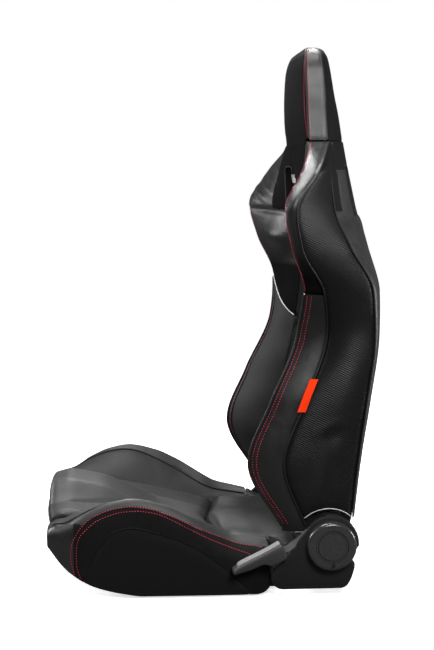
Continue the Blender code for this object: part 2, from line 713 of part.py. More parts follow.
# Backrest pads: one ring of corner points per height
class Slice:
    """Corner points of the left half of the backrest at one height."""

    def __init__(self, z):
        self.z = z
        self.inner = inner_half(z) + 0.5 * SEAM
        self.start = flat(self.inner, front_depth(z) + CHANNEL)
        self.ridge = flat(ridge_half(z), ridge_depth(z))
        self.seam = self.ridge + flat(STRIP_FLARE, strip_depth(z))
        self.piping = flat(piping_half(z), piping_depth(z))
        chord = self.piping - self.seam
        self.normal = Vector((chord.y, -chord.x, 0.0)).normalized()
        crown = PANEL_CROWN * min(1.0, chord.length / 80.0)
        self.pull = 0.5 * (self.seam + self.piping) + self.normal * (2.0 * crown)
        self.cavity = cavity_depth(z)

    def panel(self, first, last, depth, count):
        """Return points along the side panel, depth below its outer face."""
        rows = []
        for t in steps(first, last, count):
            point = self.seam * (1 - t) ** 2 + self.pull * (2 * t * (1 - t)) + self.piping * t ** 2
            run = (self.pull - self.seam) * (1 - t) + (self.piping - self.pull) * t
            rows.append(point + Vector((-run.y, run.x, 0.0)).normalized() * depth)
        return rows

    def panel_end(self):
        """Return how far along the panel the foam reaches before the cavity."""
        limit = min(self.cavity, self.piping.y - 3.0)
        depth = SKIN + PANEL_GAP
        return max(t for t in steps(0.02, 1.0, 99) if t == 0.02 or self.panel(t, 1.0, depth, 2)[0].y <= limit)

    def face(self):
        """Return the padded front face from the insert to the ridge."""
        run = self.ridge - self.start
        bow = Vector((run.y, -run.x, 0.0)).normalized() * face_crown(self.z)
        return bezier(self.start, 0.5 * (self.start + self.ridge) + 2.0 * bow, self.ridge, 6)

    def pad(self):
        """Return the bolster's outline."""
        across_strip = self.seam - self.ridge
        bow = Vector((across_strip.y, -across_strip.x, 0.0)).normalized() * STRIP_CROWN
        strip = bezier(self.ridge, 0.5 * (self.ridge + self.seam) + 2.0 * bow, self.seam, 4)
        rear = self.panel(0.0, self.panel_end(), SKIN + PANEL_GAP, 4)
        rows = self.face() + strip[1:] + rear + [flat(self.inner, self.cavity)]
        return [Vector((p.x, p.y, self.z)) for p in rows]

    def skin(self):
        """Return the side panel's outline."""
        length = (self.piping - self.seam).length
        first = 0.5 * SEAM / length
        outer = self.panel(first, 1.0 - first, 0.0, 6)
        inner = self.panel(first, 1.0 - first, SKIN, 6)
        return [Vector((p.x, p.y, self.z)) for p in outer + inner[::-1]]


def swell(part, z):
    """Return the rise of the back's crown at a share of its half width."""
    return max(0.0, 1.0 - part * part) ** crown_power(z)


def back_arc(half_width, edge, crown, count, z):
    """Return points over the back from the left edge to the right one."""
    parts = [math.cos(angle) for angle in steps(0.0, math.pi, count)]
    return [flat(half_width * part, edge + (crown - edge) * swell(part, z)) for part in parts]


def wing_front(x):
    """Return the depth of the wing's face at the harness slot."""
    return spline([(p.x, p.y) for p in Slice(SLOT_Z).face()])(x)


def panel_rear(x):
    """Return the depth of the back panel at the harness slot."""
    edge = piping_depth(SLOT_Z)
    return edge + (spine_depth(SLOT_Z) - edge) * swell(x / piping_half(SLOT_Z), SLOT_Z)


back_stops = steps(BACK_BOTTOM_Z, LUMBAR_Z, 5)[:-1] + steps(LUMBAR_Z, SPLIT_Z, 8)[:-1]
back_stops = back_stops + steps(SPLIT_Z, SHOULDER_Z, 6)[:-1] + steps(SHOULDER_Z, HEAD_SEAM_Z - SEAM, 7)
SPLIT_X = ridge_half(SPLIT_Z)


def split_prism(end_z, shift):
    """Return the block on one side of the wing seam: level outside the ridge, falling inside it."""
    far = 2.0 * SHOULDER_HALF
    level = SPLIT_Z + shift
    middle = level - SPLIT_SLOPE * SPLIT_X
    corners = [(far, level), (SPLIT_X, level), (0.0, middle), (0.0, end_z), (far, end_z)]
    return loft([[Vector((x, y, z)) for x, z in corners] for y in (-far, far)])


def slot_outline(grow):
    """Return the rounded outline of a harness slot around its centre."""
    width = 0.5 * SLOT_WIDTH + grow
    height = 0.5 * SLOT_HEIGHT + grow
    corner = 0.5 * width + grow
    rows = []
    for quarter, (sx, sz) in enumerate(((1, 1), (-1, 1), (-1, -1), (1, -1))):
        for turn in (0.0, 45.0, 90.0):
            angle = math.radians(90.0 * quarter + turn)
            rows.append((sx * (width - corner) + corner * math.cos(angle),
                         sz * (height - corner) + corner * math.sin(angle)))
    return rows


def slot_bar(proud, grow):
    """Return a bar of the slot's outline whose ends follow the wing and the back panel."""
    front = []
    rear = []
    for a, b in slot_outline(grow):
        x = SLOT_X + a
        front.append(Vector((x, wing_front(x) - proud, SLOT_Z + b)))
        rear.append(Vector((x, panel_rear(x) + proud, SLOT_Z + b)))
    return loft([front, rear])


for label, side in SIDES:
    pads = [Slice(z).pad() for z in back_stops]
    above = back.cutter("above_seam_" + label, mirrored(split_prism(2.0 * HEAD_TOP_Z, -0.5 * SEAM), side))
    below = back.cutter("below_seam_" + label, mirrored(split_prism(-HEAD_TOP_Z, 0.5 * SEAM), side))
    arch_near = ARM_INSIDE - 2 * TUBE_RADIUS - 4.0
    hem = back.cutter("hem_arch_" + label,
                      mirrored(disc(arch_near, CUSHION_HALF + 20.0, HEM_RADIUS, HINGE_Y, HINGE_Z, 32), side))
    hub = back.cutter("hub_arch_" + label,
                      mirrored(disc(arch_near, CUSHION_HALF + 20.0, HUB_ARCH, HINGE_Y, HINGE_Z, 32), side))
    slot = back.cutter("harness_slot_" + label,
                       mirrored(slot_bar(SLOT_REACH, SLEEVE_WALL + FIT), side))
    torso_item = back.solid("torso_bolster_" + label, mirrored(loft(pads), side), LEATHER)
    subtract(torso_item, above)
    subtract(torso_item, hub)
    wing_item = back.solid("shoulder_wing_" + label, mirrored(loft(pads), side), LEATHER)
    subtract(wing_item, below)
    subtract(wing_item, slot)
    panel_item = back.solid("side_panel_" + label,
                            mirrored(loft([Slice(z).skin() for z in back_stops]), side), WEAVE)
    subtract(panel_item, hem)
    sleeve = back.solid("harness_sleeve_" + label,
                        mirrored(slot_bar(SLEEVE_PROUD, SLEEVE_WALL), side), SILVER)
    passage = back.cutter("harness_passage_" + label,
                          mirrored(slot_bar(SLOT_REACH, 0.0), side))
    subtract(sleeve, passage)
    if side > 0:
        slot_left = slot
    else:
        slot_right = slot


def insert_rear(z):
    """Return the insert's back face, which ends as a thin tail in front of the rod."""
    if z < BACK_BOTTOM_Z:
        return HINGE_Y - TAIL_CLEAR
    return cavity_depth(z)


def insert_ring(z, low, high):
    """Return the centre insert's outline, drawn in at its two ends."""
    width = inner_half(z) - 0.5 * SEAM
    end = min(1.0, min(z - low, high - z) / 14.0)
    front = front_depth(z) + 7.0 * (1.0 - end) ** 2
    rows = []
    for part in (-1.0, -0.88, -0.5, 0.0, 0.5, 0.88, 1.0):
        hollow = 5.0 * (1.0 - part * part)
        sewn = CHANNEL if abs(part) == 1.0 else 0.0
        rows.append(Vector((width * part, front + hollow + sewn, z)))
    rows.append(Vector((width, insert_rear(z), z)))
    rows.append(Vector((-width, insert_rear(z), z)))
    return rows


INSERT_SPLIT_Z = WAIST_Z - 10.0
PAD_TIP_Z = 0.5 * (SHOULDER_Z + NECK_Z)
for label, low, high in (("lumbar_insert", TAIL_Z, INSERT_SPLIT_Z - 0.5 * SEAM),
                         ("upper_insert", INSERT_SPLIT_Z + 0.5 * SEAM, PAD_TIP_Z - 0.5 * SEAM)):
    stops = [low, low + 5.0] + [z for z in back_stops if low + 7.0 < z < high - 7.0] + [high - 5.0, high]
    if low < BACK_BOTTOM_Z:
        stops = stops[:2] + [BACK_BOTTOM_Z - 2.0] + stops[2:]
    back.solid(label, loft([insert_ring(z, low, high) for z in stops]), SUEDE)


# Back panel: a moulded shell from piping to piping
def shell_ring(z):
    """Return the back panel's outline at one height."""
    outer = back_arc(piping_half(z), piping_depth(z) + SEAM, spine_depth(z), 13, z)
    inner = back_arc(piping_half(z) - SHELL, piping_depth(z) + SEAM, spine_depth(z) - SHELL, 13, z)
    return [Vector((p.x, p.y, z)) for p in outer + inner[::-1]]


shell_stops = [BACK_BOTTOM_Z + 18.0] + back_stops[1:]
panel = back.solid("back_panel", loft([shell_ring(z) for z in shell_stops]), LINING)
subtract(panel, slot_left)
subtract(panel, slot_right)


# Headrest: a shell with side strips, closed by the front pad
def head_ring(z, inset, front_extra):
    """Return the headrest cover's outline, moved inwards by inset."""
    width = head_half(z) - inset
    front = head_front(z) - front_extra
    taper = 0.0 if inset else HEAD_TAPER
    arc = back_arc(width, head_seam(z) - 0.5 * inset, head_rear(z) - inset, 15, z)
    rows = [flat(width - taper, front)] + arc + [flat(taper - width, front)]
    return [Vector((p.x, p.y, z)) for p in rows]


HEAD_BLEND = 24.0         # height over which the neck grows into the headrest
head_stops = [HEAD_SEAM_Z, HEAD_SEAM_Z + HEAD_BLEND, HEAD_SEAM_Z + 2.5 * HEAD_BLEND]
head_stops = head_stops + [HEAD_TOP_Z - drop for drop in (87, 60, 42, 28, 19, 11, 5, 0)]
cover = back.solid("headrest_cover", loft([head_ring(z, 0.0, 0.0) for z in head_stops]), LEATHER)
inside_stops = head_stops[1:8] + [HEAD_TOP_Z - 13.0, HEAD_TOP_Z - HEAD_WALL]
hollow_stops = [HEAD_SEAM_Z - 30.0, HEAD_SEAM_Z] + inside_stops
hollow = back.cutter("headrest_hollow", loft([head_ring(z, HEAD_WALL, 40.0) for z in hollow_stops]))
subtract(cover, hollow)


def foam_depth(z):
    """Return the back face of the foam, which leans forwards beside the hoop in the headrest."""
    climb = min(z, HOOP_TOP_Z) - HEAD_SEAM_Z
    return cavity_depth(min(z, HEAD_SEAM_Z)) - max(0.0, climb) * HEAD_LEAN


def head_pad_ring(z):
    """Return the headrest pad's outline at one height."""
    if z <= HEAD_SEAM_Z:
        width = inner_half(z) - 0.5 * SEAM
        front = front_depth(z)
    else:
        grown = min(1.0, (z - HEAD_SEAM_Z) / HEAD_BLEND)
        width = (1.0 - grown) * inner_half(HEAD_SEAM_Z) + grown * (head_half(z) - HEAD_WALL) - SEAM
        front = pad_front(z)
    rows = []
    for part in (-1.0, -0.92, -0.55, 0.0, 0.55, 0.92, 1.0):
        bow = 6.0 * part * part if z > HEAD_SEAM_Z else 3.0 * part * part
        sewn = CHANNEL if abs(part) == 1.0 else 0.0
        rows.append(Vector((width * part, front + bow + sewn, z)))
    rear = foam_depth(z)
    corner = min(rear - 2.0, head_seam(z) - HEAD_WALL)
    for x, y in ((width, corner), (0.86 * width, rear), (-0.86 * width, rear), (-width, corner)):
        rows.append(Vector((x, y, z)))
    return rows


pad_stops = [PAD_TIP_Z + 0.5 * SEAM] + [z for z in back_stops if z > PAD_TIP_Z + 4.0]
pad_stops = pad_stops + inside_stops[:-1] + [HEAD_TOP_Z - HEAD_WALL - SEAM]
back.solid("headrest_pad", loft([head_pad_ring(z) for z in pad_stops]), SUEDE)


# Back frame: hoop, bars and springs in the cavity behind the foam
def tube_depth(z):
    """Return the depth of the tube's centre line."""
    return foam_depth(z) + TUBE_BACKSET


SLOT_INSIDE = SLOT_X - 0.5 * SLOT_WIDTH - SLEEVE_WALL - TUBE_RADIUS - 8.0
hoop_half = spline([(HOOP_LOW_Z, LEG_X), (ARM_TOP_Z + 20.0, LEG_X), (WAIST_Z, LEG_X - 20.0),
                    (ARMPIT_Z - 25.0, SLOT_INSIDE + 34.0), (SHOULDER_Z - 10.0, SLOT_INSIDE),
                    (NECK_Z, SLOT_INSIDE - 12.0), (HEAD_SEAM_Z, HOOP_HEAD_HALF + 12.0),
                    (HOOP_TOP_Z - HOOP_BEND, HOOP_HEAD_HALF)])
left_leg = [Vector((hoop_half(z), tube_depth(z), z)) for z in steps(HOOP_LOW_Z, HOOP_TOP_Z - HOOP_BEND, 22)]
bend = []
for angle in steps(0.0, 90.0, 6)[1:]:
    turn = math.radians(angle)
    z = HOOP_TOP_Z - HOOP_BEND + HOOP_BEND * math.sin(turn)
    x = hoop_half(HOOP_TOP_Z) - HOOP_BEND + HOOP_BEND * math.cos(turn)
    bend.append(Vector((x, tube_depth(z), z)))
half_hoop = left_leg + bend
hoop_path = half_hoop + [Vector((-p.x, p.y, p.z)) for p in reversed(half_hoop)]
back.tube("back_hoop", hoop_path, TUBE_RADIUS, STEEL, 2)


def leg_reach(z, radius):
    """Return how far a bar of this radius reaches before it meets the hoop's legs."""
    pairs = zip(left_leg, left_leg[1:])
    low, high = next(pair for pair in pairs if pair[1].z > z)
    lean = abs(high.x - low.x) / (high.z - low.z)
    middle = low.x + (high.x - low.x) * (z - low.z) / (high.z - low.z)
    return middle - radius * lean - TUBE_RADIUS * math.hypot(1.0, lean) - FIT


for label, z in (("lower_cross_bar", BAR_LOW_Z), ("upper_cross_bar", BAR_HIGH_Z)):
    reach = leg_reach(z, BAR_RADIUS)
    ends = [Vector((x, tube_depth(z), z)) for x in (-reach, reach)]
    back.tube(label, ends, BAR_RADIUS, STEEL, 2)
for k in range(BACK_SPRINGS):
    z = BACK_SPRING_LOW_Z + k * BACK_SPRING_PITCH
    reach = leg_reach(z, 0.5 * SPRING_WIRE)
    rows = wave(-reach, reach, BACK_SPRING_SWING, SPRING_WAVES)
    route = [Vector((along, tube_depth(z), z + rise)) for along, rise in rows]
    back.tube(f"back_spring_{k + 1}", route, 0.5 * SPRING_WIRE, WIRE, 0)


# Recliners: arm, sealed disc halves, post and spiral spring on each side
def hinged(rise_y, rise_z):
    """Return the (y, z) point at a distance from the recline axis."""
    return flat(HINGE_Y + rise_y, HINGE_Z + rise_z)


def around(radius, first, last, count):
    """Return (y, z) points on an arc about the recline axis."""
    turns = [math.radians(angle) for angle in steps(first, last, count)]
    return [hinged(radius * math.cos(turn), radius * math.sin(turn)) for turn in turns]


def arm_outline():
    """Return the recliner arm: hub, neck and a strap along the hoop's leg."""
    rows = around(ARM_HUB, 52.0, 368.0, 22)
    for z in (HINGE_Z + ARM_HUB + 10.0, 0.5 * (HINGE_Z + ARM_TOP_Z), ARM_TOP_Z - ARM_HALF):
        rows.append(flat(tube_depth(z) + ARM_HALF, z))
    tip = tube_depth(ARM_TOP_Z)
    for angle in steps(0.0, 180.0, 7)[1:-1]:
        turn = math.radians(angle)
        rows.append(flat(tip + ARM_HALF * math.cos(turn), ARM_TOP_Z - ARM_HALF + ARM_HALF * math.sin(turn)))
    for z in (ARM_TOP_Z - ARM_HALF, 0.5 * (HINGE_Z + ARM_TOP_Z), HINGE_Z + ARM_HUB):
        rows.append(flat(tube_depth(z) - ARM_HALF, z))
    return rows


def cover_outline():
    """Return the recliner cover's outline, counter-clockwise from the front corner."""
    rear = [hinged(-88, -78), hinged(20, -78), hinged(33, -71), hinged(40, -54), hinged(45, -28)]
    neck = [hinged(-53, 12), hinged(-62, -5), hinged(-77, -23), hinged(-94, -36), hinged(-102, -45)]
    toe = [flat(CUSHION_END_Y + FIT, HINGE_Z - 58), flat(CUSHION_END_Y + 4.0, HINGE_Z - 69)]
    return rear + around(COVER_RADIUS, -4.0, 148.0, 12) + neck + toe


def spiral():
    """Return the closed outline of the recline spring's strip."""
    count = COIL_TURNS * 18
    inner_radius = POST_RADIUS + FIT + 0.2
    middle = []
    for i in range(count + 1):
        angle = 2 * math.pi * i / 18 - 0.5 * math.pi
        radius = inner_radius + 0.5 * COIL_STRIP + (COIL_OUTER - inner_radius - COIL_STRIP) * i / count
        middle.append((radius, angle))
    edges = []
    for shift in (0.5 * COIL_STRIP, -0.5 * COIL_STRIP):
        edges.append([hinged((r + shift) * math.cos(a), (r + shift) * math.sin(a)) for r, a in middle])
    return edges[0] + edges[1][::-1]


def ribbon(outline, x_near, x_far):
    """Extrude a long thin outline with quads across its ends."""
    body = bmesh.new()
    count = len(outline) // 2
    rows = [[body.verts.new((x, p.x, p.y)) for p in outline] for x in (x_near, x_far)]
    total = len(outline)
    for i in range(total):
        j = (i + 1) % total
        body.faces.new((rows[0][i], rows[0][j], rows[1][j], rows[1][i]))
    for row in rows:
        for i in range(count - 1):
            body.faces.new((row[i], row[i + 1], row[total - 2 - i], row[total - 1 - i]))
    bmesh.ops.recalc_face_normals(body, faces=body.faces)
    return body


def moving_disc():
    """Return the moving disc half: a flange with the hollow post that carries the spring."""
    bore = 0.5 * POST_BORE
    rim = DISC_RADIUS - 1.5
    profile = [(MOVING_IN, bore), (MOVING_IN, rim), (MOVING_OUT, rim), (MOVING_OUT, POST_RADIUS),
               (POST_OUT, POST_RADIUS), (POST_OUT, bore)]
    return turned(profile, HINGE_Y, HINGE_Z, 24, True)


PIN_PLACE = around(COIL_OUTER + PIN_RADIUS + FIT, -90.0, -60.0, 2)[0]
rod_hole = back.cutter("rod_hole", disc(-CAP_OUT, CAP_OUT, 0.5 * POST_BORE, HINGE_Y, HINGE_Z, 20))
post_hole = base.cutter("post_hole", disc(-CAP_OUT, CAP_OUT, POST_RADIUS + RUN, HINGE_Y, HINGE_Z, 24))
for label, side in SIDES:
    arm = back.solid("recliner_arm_" + label,
                     mirrored(plate(arm_outline(), ARM_INSIDE, ARM_OUTSIDE), side), STEEL)
    subtract(arm, rod_hole)
    back.solid("moving_disc_" + label, mirrored(moving_disc(), side), BRIGHT)
    fixed = ring(FIXED_IN, FIXED_OUT, DISC_RADIUS, POST_RADIUS + RUN, HINGE_Y, HINGE_Z)
    base.solid("fixed_disc_" + label, mirrored(fixed, side), BRIGHT)
    cheek = plate(offset(cover_outline(), COVER_WALL + 1.0), PLATE_IN, PLATE_OUT)
    side_plate = base.solid("recliner_plate_" + label, mirrored(cheek, side), STEEL)
    pin = disc(PLATE_OUT - 1.0, COIL_OUT + RUN, PIN_RADIUS, PIN_PLACE.x, PIN_PLACE.y, 12)
    weld(side_plate, base.cutter("spring_pin_" + label, mirrored(pin, side)))
    foot = block((MEMBER_IN, FOOT_FRONT_Y, MEMBER_TOP), (PLATE_IN + 0.5 * PLATE_THICK, FOOT_REAR_Y, FOOT_TOP))
    weld(side_plate, base.cutter("plate_foot_" + label, mirrored(foot, side)))
    subtract(side_plate, post_hole)
    for end in ("front", "rear"):
        subtract(side_plate, bpy.data.objects[f"bolt_bore_{label}_{end}"])
    base.solid("recline_spring_" + label, mirrored(ribbon(spiral(), COIL_IN, COIL_OUT), side), WIRE)
    shell = base.solid("recliner_cover_" + label,
                       mirrored(plate(cover_outline(), COVER_IN, COVER_OUT), side), PLASTIC)
    inside = base.cutter("cover_inside_" + label,
                         mirrored(plate(offset(cover_outline(), COVER_WALL), COVER_IN - 5.0, FACE_IN), side))
    subtract(shell, inside)
    if side > 0:
        mouth = block((COVER_IN - 5.0, HINGE_Y - 2 * COVER_RADIUS, HINGE_Z - LEVER_HUB),
                      (FACE_IN, HINGE_Y - POST_RADIUS, HINGE_Z + 1.5 * COVER_RADIUS))
        subtract(shell, base.cutter("lever_mouth", mouth))
    profile = [(CAP_IN, 0.0), (CAP_IN, CAP_RADIUS - 1.0), (CAP_OUT - 2 * CAP_EDGE, CAP_RADIUS),
               (CAP_OUT - 0.3 * CAP_EDGE, CAP_RADIUS - 0.3 * CAP_EDGE),
               (CAP_OUT, CAP_RADIUS - CAP_EDGE - 1.0),
               (CAP_OUT - 0.4, CAP_GROOVE + 2.2), (CAP_OUT - 2.4, CAP_GROOVE + 1.0),
               (CAP_OUT - 2.4, CAP_GROOVE - 1.0), (CAP_OUT - 0.6, CAP_GROOVE - 2.2), (CAP_OUT - 0.6, 0.0)]
    base.solid("pivot_cap_" + label, mirrored(turned(profile, HINGE_Y, HINGE_Z, 28, False), side), PLASTIC)


def bolt(x, y):
    """Return one foot bolt: head on the foot, shank into the member."""
    tip = MEMBER_HEIGHT - MEMBER_WALL - 6.0
    seat = FOOT_TOP + FIT
    rings = []
    turns = [i * math.pi / 6 for i in range(12)]
    for radius, z in ((BOLT_SHANK, tip), (BOLT_SHANK, seat), (BOLT_HEAD, seat), (BOLT_HEAD, seat + 5.0)):
        rings.append([Vector((x + radius * math.cos(a), y + radius * math.sin(a), z)) for a in turns])
    return loft(rings)


for label, side in SIDES:
    for end, y in (("front", BOLT_FRONT_Y), ("rear", BOLT_REAR_Y)):
        base.solid(f"foot_bolt_{label}_{end}", bolt(side * MEMBER_MID, y), BRIGHT)


# Release lever: hub and cranked arm on the cross rod, with a paddle grip
def lever_outline():
    """Return the stamped lever arm from its hub round the cover's front edge."""
    hub = around(LEVER_HUB, -120.0, 100.0, 9)
    upper = [hinged(-24, 24), hinged(-42, 26), hinged(-54, 14), hinged(-76, -2), hinged(-114, -18)]
    lower = [hinged(-112, -26), hinged(-72, -12), hinged(-50, 3), hinged(-39, 12), hinged(-24, 8)]
    return hub + upper + lower


arm = lever.solid("lever_arm", plate(lever_outline(), LEVER_IN, LEVER_OUT), BRIGHT)
hub_hole = disc(LEVER_IN - LEVER_THICK, LEVER_OUT + LEVER_THICK, ROD_RADIUS + FIT, HINGE_Y, HINGE_Z, 20)
subtract(arm, lever.cutter("lever_hub_hole", hub_hole))
lever.solid("release_rod", disc(-POST_OUT, LEVER_OUT + 1.0, ROD_RADIUS, HINGE_Y, HINGE_Z, 20), BRIGHT)


def grip_outline():
    """Return the paddle grip's side view, thin at its tip and deep at its heel."""
    heel = [hinged(-76, -19), hinged(-84, 5), hinged(-89, 7), hinged(-116, -9)]
    tip = [hinged(-158, -30), hinged(-168, -37), hinged(-171, -42), hinged(-163, -47)]
    return heel + tip + [hinged(-136, -37), hinged(-116, -28), hinged(-103, -33)]


grip_rings = []
for part, shrink in ((0.0, 2.0), (0.10, 0.4), (0.25, 0.0), (0.75, 0.0), (0.90, 0.4), (1.0, 2.0)):
    x = GRIP_INSIDE + GRIP_WIDTH * part
    grip_rings.append([Vector((x, p.x, p.y)) for p in offset(grip_outline(), shrink)])
grip = lever.solid("lever_grip", loft(grip_rings), PLASTIC)
slit = lever.cutter("grip_slit", plate(offset(lever_outline(), -FIT), LEVER_IN - FIT, LEVER_OUT + FIT))
subtract(grip, slit)


# Tag sewn over the left seam
def tag_ring(z):
    """Return the tag's thin outline at one height, standing just off the seam."""
    cut = Slice(z)
    run = (cut.panel(0.06, 1.0, 0.0, 2)[0] - cut.ridge).normalized()
    out = Vector((run.y, -run.x, 0.0))
    middle = cut.seam + out * (TAG_LIFT + 0.5 * TAG_THICK)
    corners = [middle + run * (sy * 0.5 * TAG_WIDTH) + out * (so * 0.5 * TAG_THICK)
               for sy, so in ((-1, -1), (1, -1), (1, 1), (-1, 1))]
    return [Vector((p.x, p.y, z)) for p in corners]


back.solid("side_tag", loft([tag_ring(z) for z in steps(TAG_LOW_Z, TAG_HIGH_Z, 5)]), TAG)
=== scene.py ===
"""Dress a reclining racing seat: padded covers, stitched seams, recliners and studio.

Forms are worked out in millimetres in the frame's own axes and built in metres.
The seat faces -Y, the occupant's left is +X, and Z = 0 is the mounting plane.
"""
from __future__ import annotations

import json
import logging
import math
import sys
from bisect import bisect_right
from dataclasses import dataclass, field, replace
from enum import Enum
from typing import Callable, Optional, Sequence

import bmesh
import bpy
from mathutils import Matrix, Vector

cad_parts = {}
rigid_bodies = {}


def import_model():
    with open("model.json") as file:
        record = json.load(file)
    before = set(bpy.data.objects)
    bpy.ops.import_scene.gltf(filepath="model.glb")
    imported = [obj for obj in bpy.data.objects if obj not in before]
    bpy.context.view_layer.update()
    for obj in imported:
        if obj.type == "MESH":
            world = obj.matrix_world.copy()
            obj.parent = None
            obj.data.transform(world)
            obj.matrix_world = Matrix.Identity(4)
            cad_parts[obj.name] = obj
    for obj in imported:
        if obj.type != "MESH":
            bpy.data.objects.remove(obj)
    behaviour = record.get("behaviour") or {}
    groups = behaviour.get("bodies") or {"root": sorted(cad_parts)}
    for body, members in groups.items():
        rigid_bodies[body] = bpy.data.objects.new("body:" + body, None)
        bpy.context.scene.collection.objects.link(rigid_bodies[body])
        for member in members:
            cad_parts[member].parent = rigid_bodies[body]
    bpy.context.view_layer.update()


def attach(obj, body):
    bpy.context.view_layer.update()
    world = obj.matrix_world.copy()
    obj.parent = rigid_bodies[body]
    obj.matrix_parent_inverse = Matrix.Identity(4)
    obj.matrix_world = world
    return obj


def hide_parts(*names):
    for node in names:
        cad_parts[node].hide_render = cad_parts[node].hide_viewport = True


LOG = logging.getLogger("racing_seat")
MM = 0.001

Pair = tuple[float, float]
Colour = tuple[float, float, float]
Ring = list[Vector]
Amounts = list[list[float]]
Item = bpy.types.Object
Socket = bpy.types.NodeSocket
Group = bpy.types.ShaderNodeTree


class Body(str, Enum):
    """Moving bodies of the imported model."""

    BASE = "base"
    BACK = "backrest"
    LEVER = "lever"


class Texture(Enum):
    """Surface structures that the finishes share."""

    GRAIN = "leather_grain"
    NAP = "suede_nap"
    RIBS = "diagonal_ribs"
    PAINT = "paint_peel"
    BRUSHED = "brushed_metal"
    MOULDED = "moulded_skin"
    WOVEN = "plain_weave"
    TWIST = "thread_twist"


# Curves and small helpers


class Curve:
    """Smooth curve through (place, value) rows that never overshoots."""

    def __init__(self, rows: Sequence[Pair]) -> None:
        """Keep the rows and the slope at each of them.

        Args:
            rows: Places in rising order, each with the value there.
        """
        self.places = [float(row[0]) for row in rows]
        self.values = [float(row[1]) for row in rows]
        spans = zip(rows, rows[1:])
        rises = [(b[1] - a[1]) / (b[0] - a[0]) for a, b in spans]
        self.slopes = [rises[0]]
        for a, b in zip(rises, rises[1:]):
            self.slopes.append(0.0 if a * b <= 0.0 else 2.0 * a * b / (a + b))
        self.slopes.append(rises[-1])

    def __call__(self, place: float) -> float:
        """Return the value at a place, held beyond both ends."""
        if place <= self.places[0]:
            return self.values[0]
        if place >= self.places[-1]:
            return self.values[-1]
        i = bisect_right(self.places, place) - 1
        span = self.places[i + 1] - self.places[i]
        t = (place - self.places[i]) / span
        start = (2 * t ** 3 - 3 * t ** 2 + 1) * self.values[i]
        lead = (t ** 3 - 2 * t ** 2 + t) * span * self.slopes[i]
        end = (3 * t ** 2 - 2 * t ** 3) * self.values[i + 1]
        tail = (t ** 3 - t ** 2) * span * self.slopes[i + 1]
        return start + lead + end + tail


def steps(first: float, last: float, count: int) -> list[float]:
    """Return evenly spaced values from first to last."""
    return [first + (last - first) * i / (count - 1) for i in range(count)]


def held(value: float) -> float:
    """Return a value held between 0 and 1."""
    return min(1.0, max(0.0, value))


def turns(count: int) -> list[float]:
    """Return the angles of evenly spaced points round a circle."""
    return [2.0 * math.pi * i / count for i in range(count)]


def mirror(route: Sequence[Vector], side: float) -> Ring:
    """Return a route drawn on the left, flipped to the right when side is negative."""
    return [Vector((side * p.x, p.y, p.z)) for p in route]


def bell(distance: float, width: float) -> float:
    """Return a smooth bump that is 1 at zero and fades over the width."""
    return math.exp(-((distance / width) ** 2))


def quadratic(a: Vector, pull: Vector, b: Vector, t: float) -> Vector:
    """Return the point at share t on a quadratic curve."""
    return a * (1 - t) ** 2 + pull * (2 * t * (1 - t)) + b * t ** 2


def outward(run: Vector) -> Vector:
    """Return the plane normal on the outer side of a run along an outline."""
    return Vector((run.y, -run.x)).normalized()


def lifted(a: Vector, pull: Vector, b: Vector, t: float, lift: float) -> Vector:
    """Return the point at share t on a quadratic plan curve, lifted to its outer side."""
    run = (pull - a) * (1 - t) + (b - pull) * t
    return quadratic(a, pull, b, t) + outward(run) * lift


def solve(test: Callable[[float], float], low: float, high: float) -> float:
    """Return where a rising test crosses zero between two places."""
    for _ in range(28):
        middle = 0.5 * (low + high)
        if test(middle) < 0.0:
            low = middle
        else:
            high = middle
    return 0.5 * (low + high)


def offset(outline: Sequence[Vector], inset: float) -> list[Vector]:
    """Move a closed counter-clockwise outline inwards along its corners.

    Args:
        outline: Plane points in order.
        inset: Distance to move, negative to grow.

    Returns:
        The moved points, one for each given point.
    """
    moved = []
    for i, point in enumerate(outline):
        before = (point - outline[i - 1]).normalized()
        after = (outline[(i + 1) % len(outline)] - point).normalized()
        first = Vector((-before.y, before.x))
        second = Vector((-after.y, after.x))
        middle = (first + second).normalized()
        moved.append(point + middle * (inset / max(0.5, middle.dot(first))))
    return moved


def rounded(corners: Sequence[tuple[float, float, float]], count: int) -> list[Vector]:
    """Return a closed outline with each corner rounded by its own radius.

    Args:
        corners: Rows of (y, z, radius) in counter-clockwise order.
        count: Points on each round corner.

    Returns:
        The points of the outline.
    """
    points = []
    for i, (y, z, radius) in enumerate(corners):
        corner = Vector((y, z))
        before = Vector(corners[i - 1][:2]) - corner
        after = Vector(corners[(i + 1) % len(corners)][:2]) - corner
        reach = min(radius, 0.48 * before.length, 0.48 * after.length)
        start = corner + before.normalized() * reach
        end = corner + after.normalized() * reach
        points += [quadratic(start, corner, end, t) for t in steps(0.0, 1.0, count)]
    return points


# Making meshes


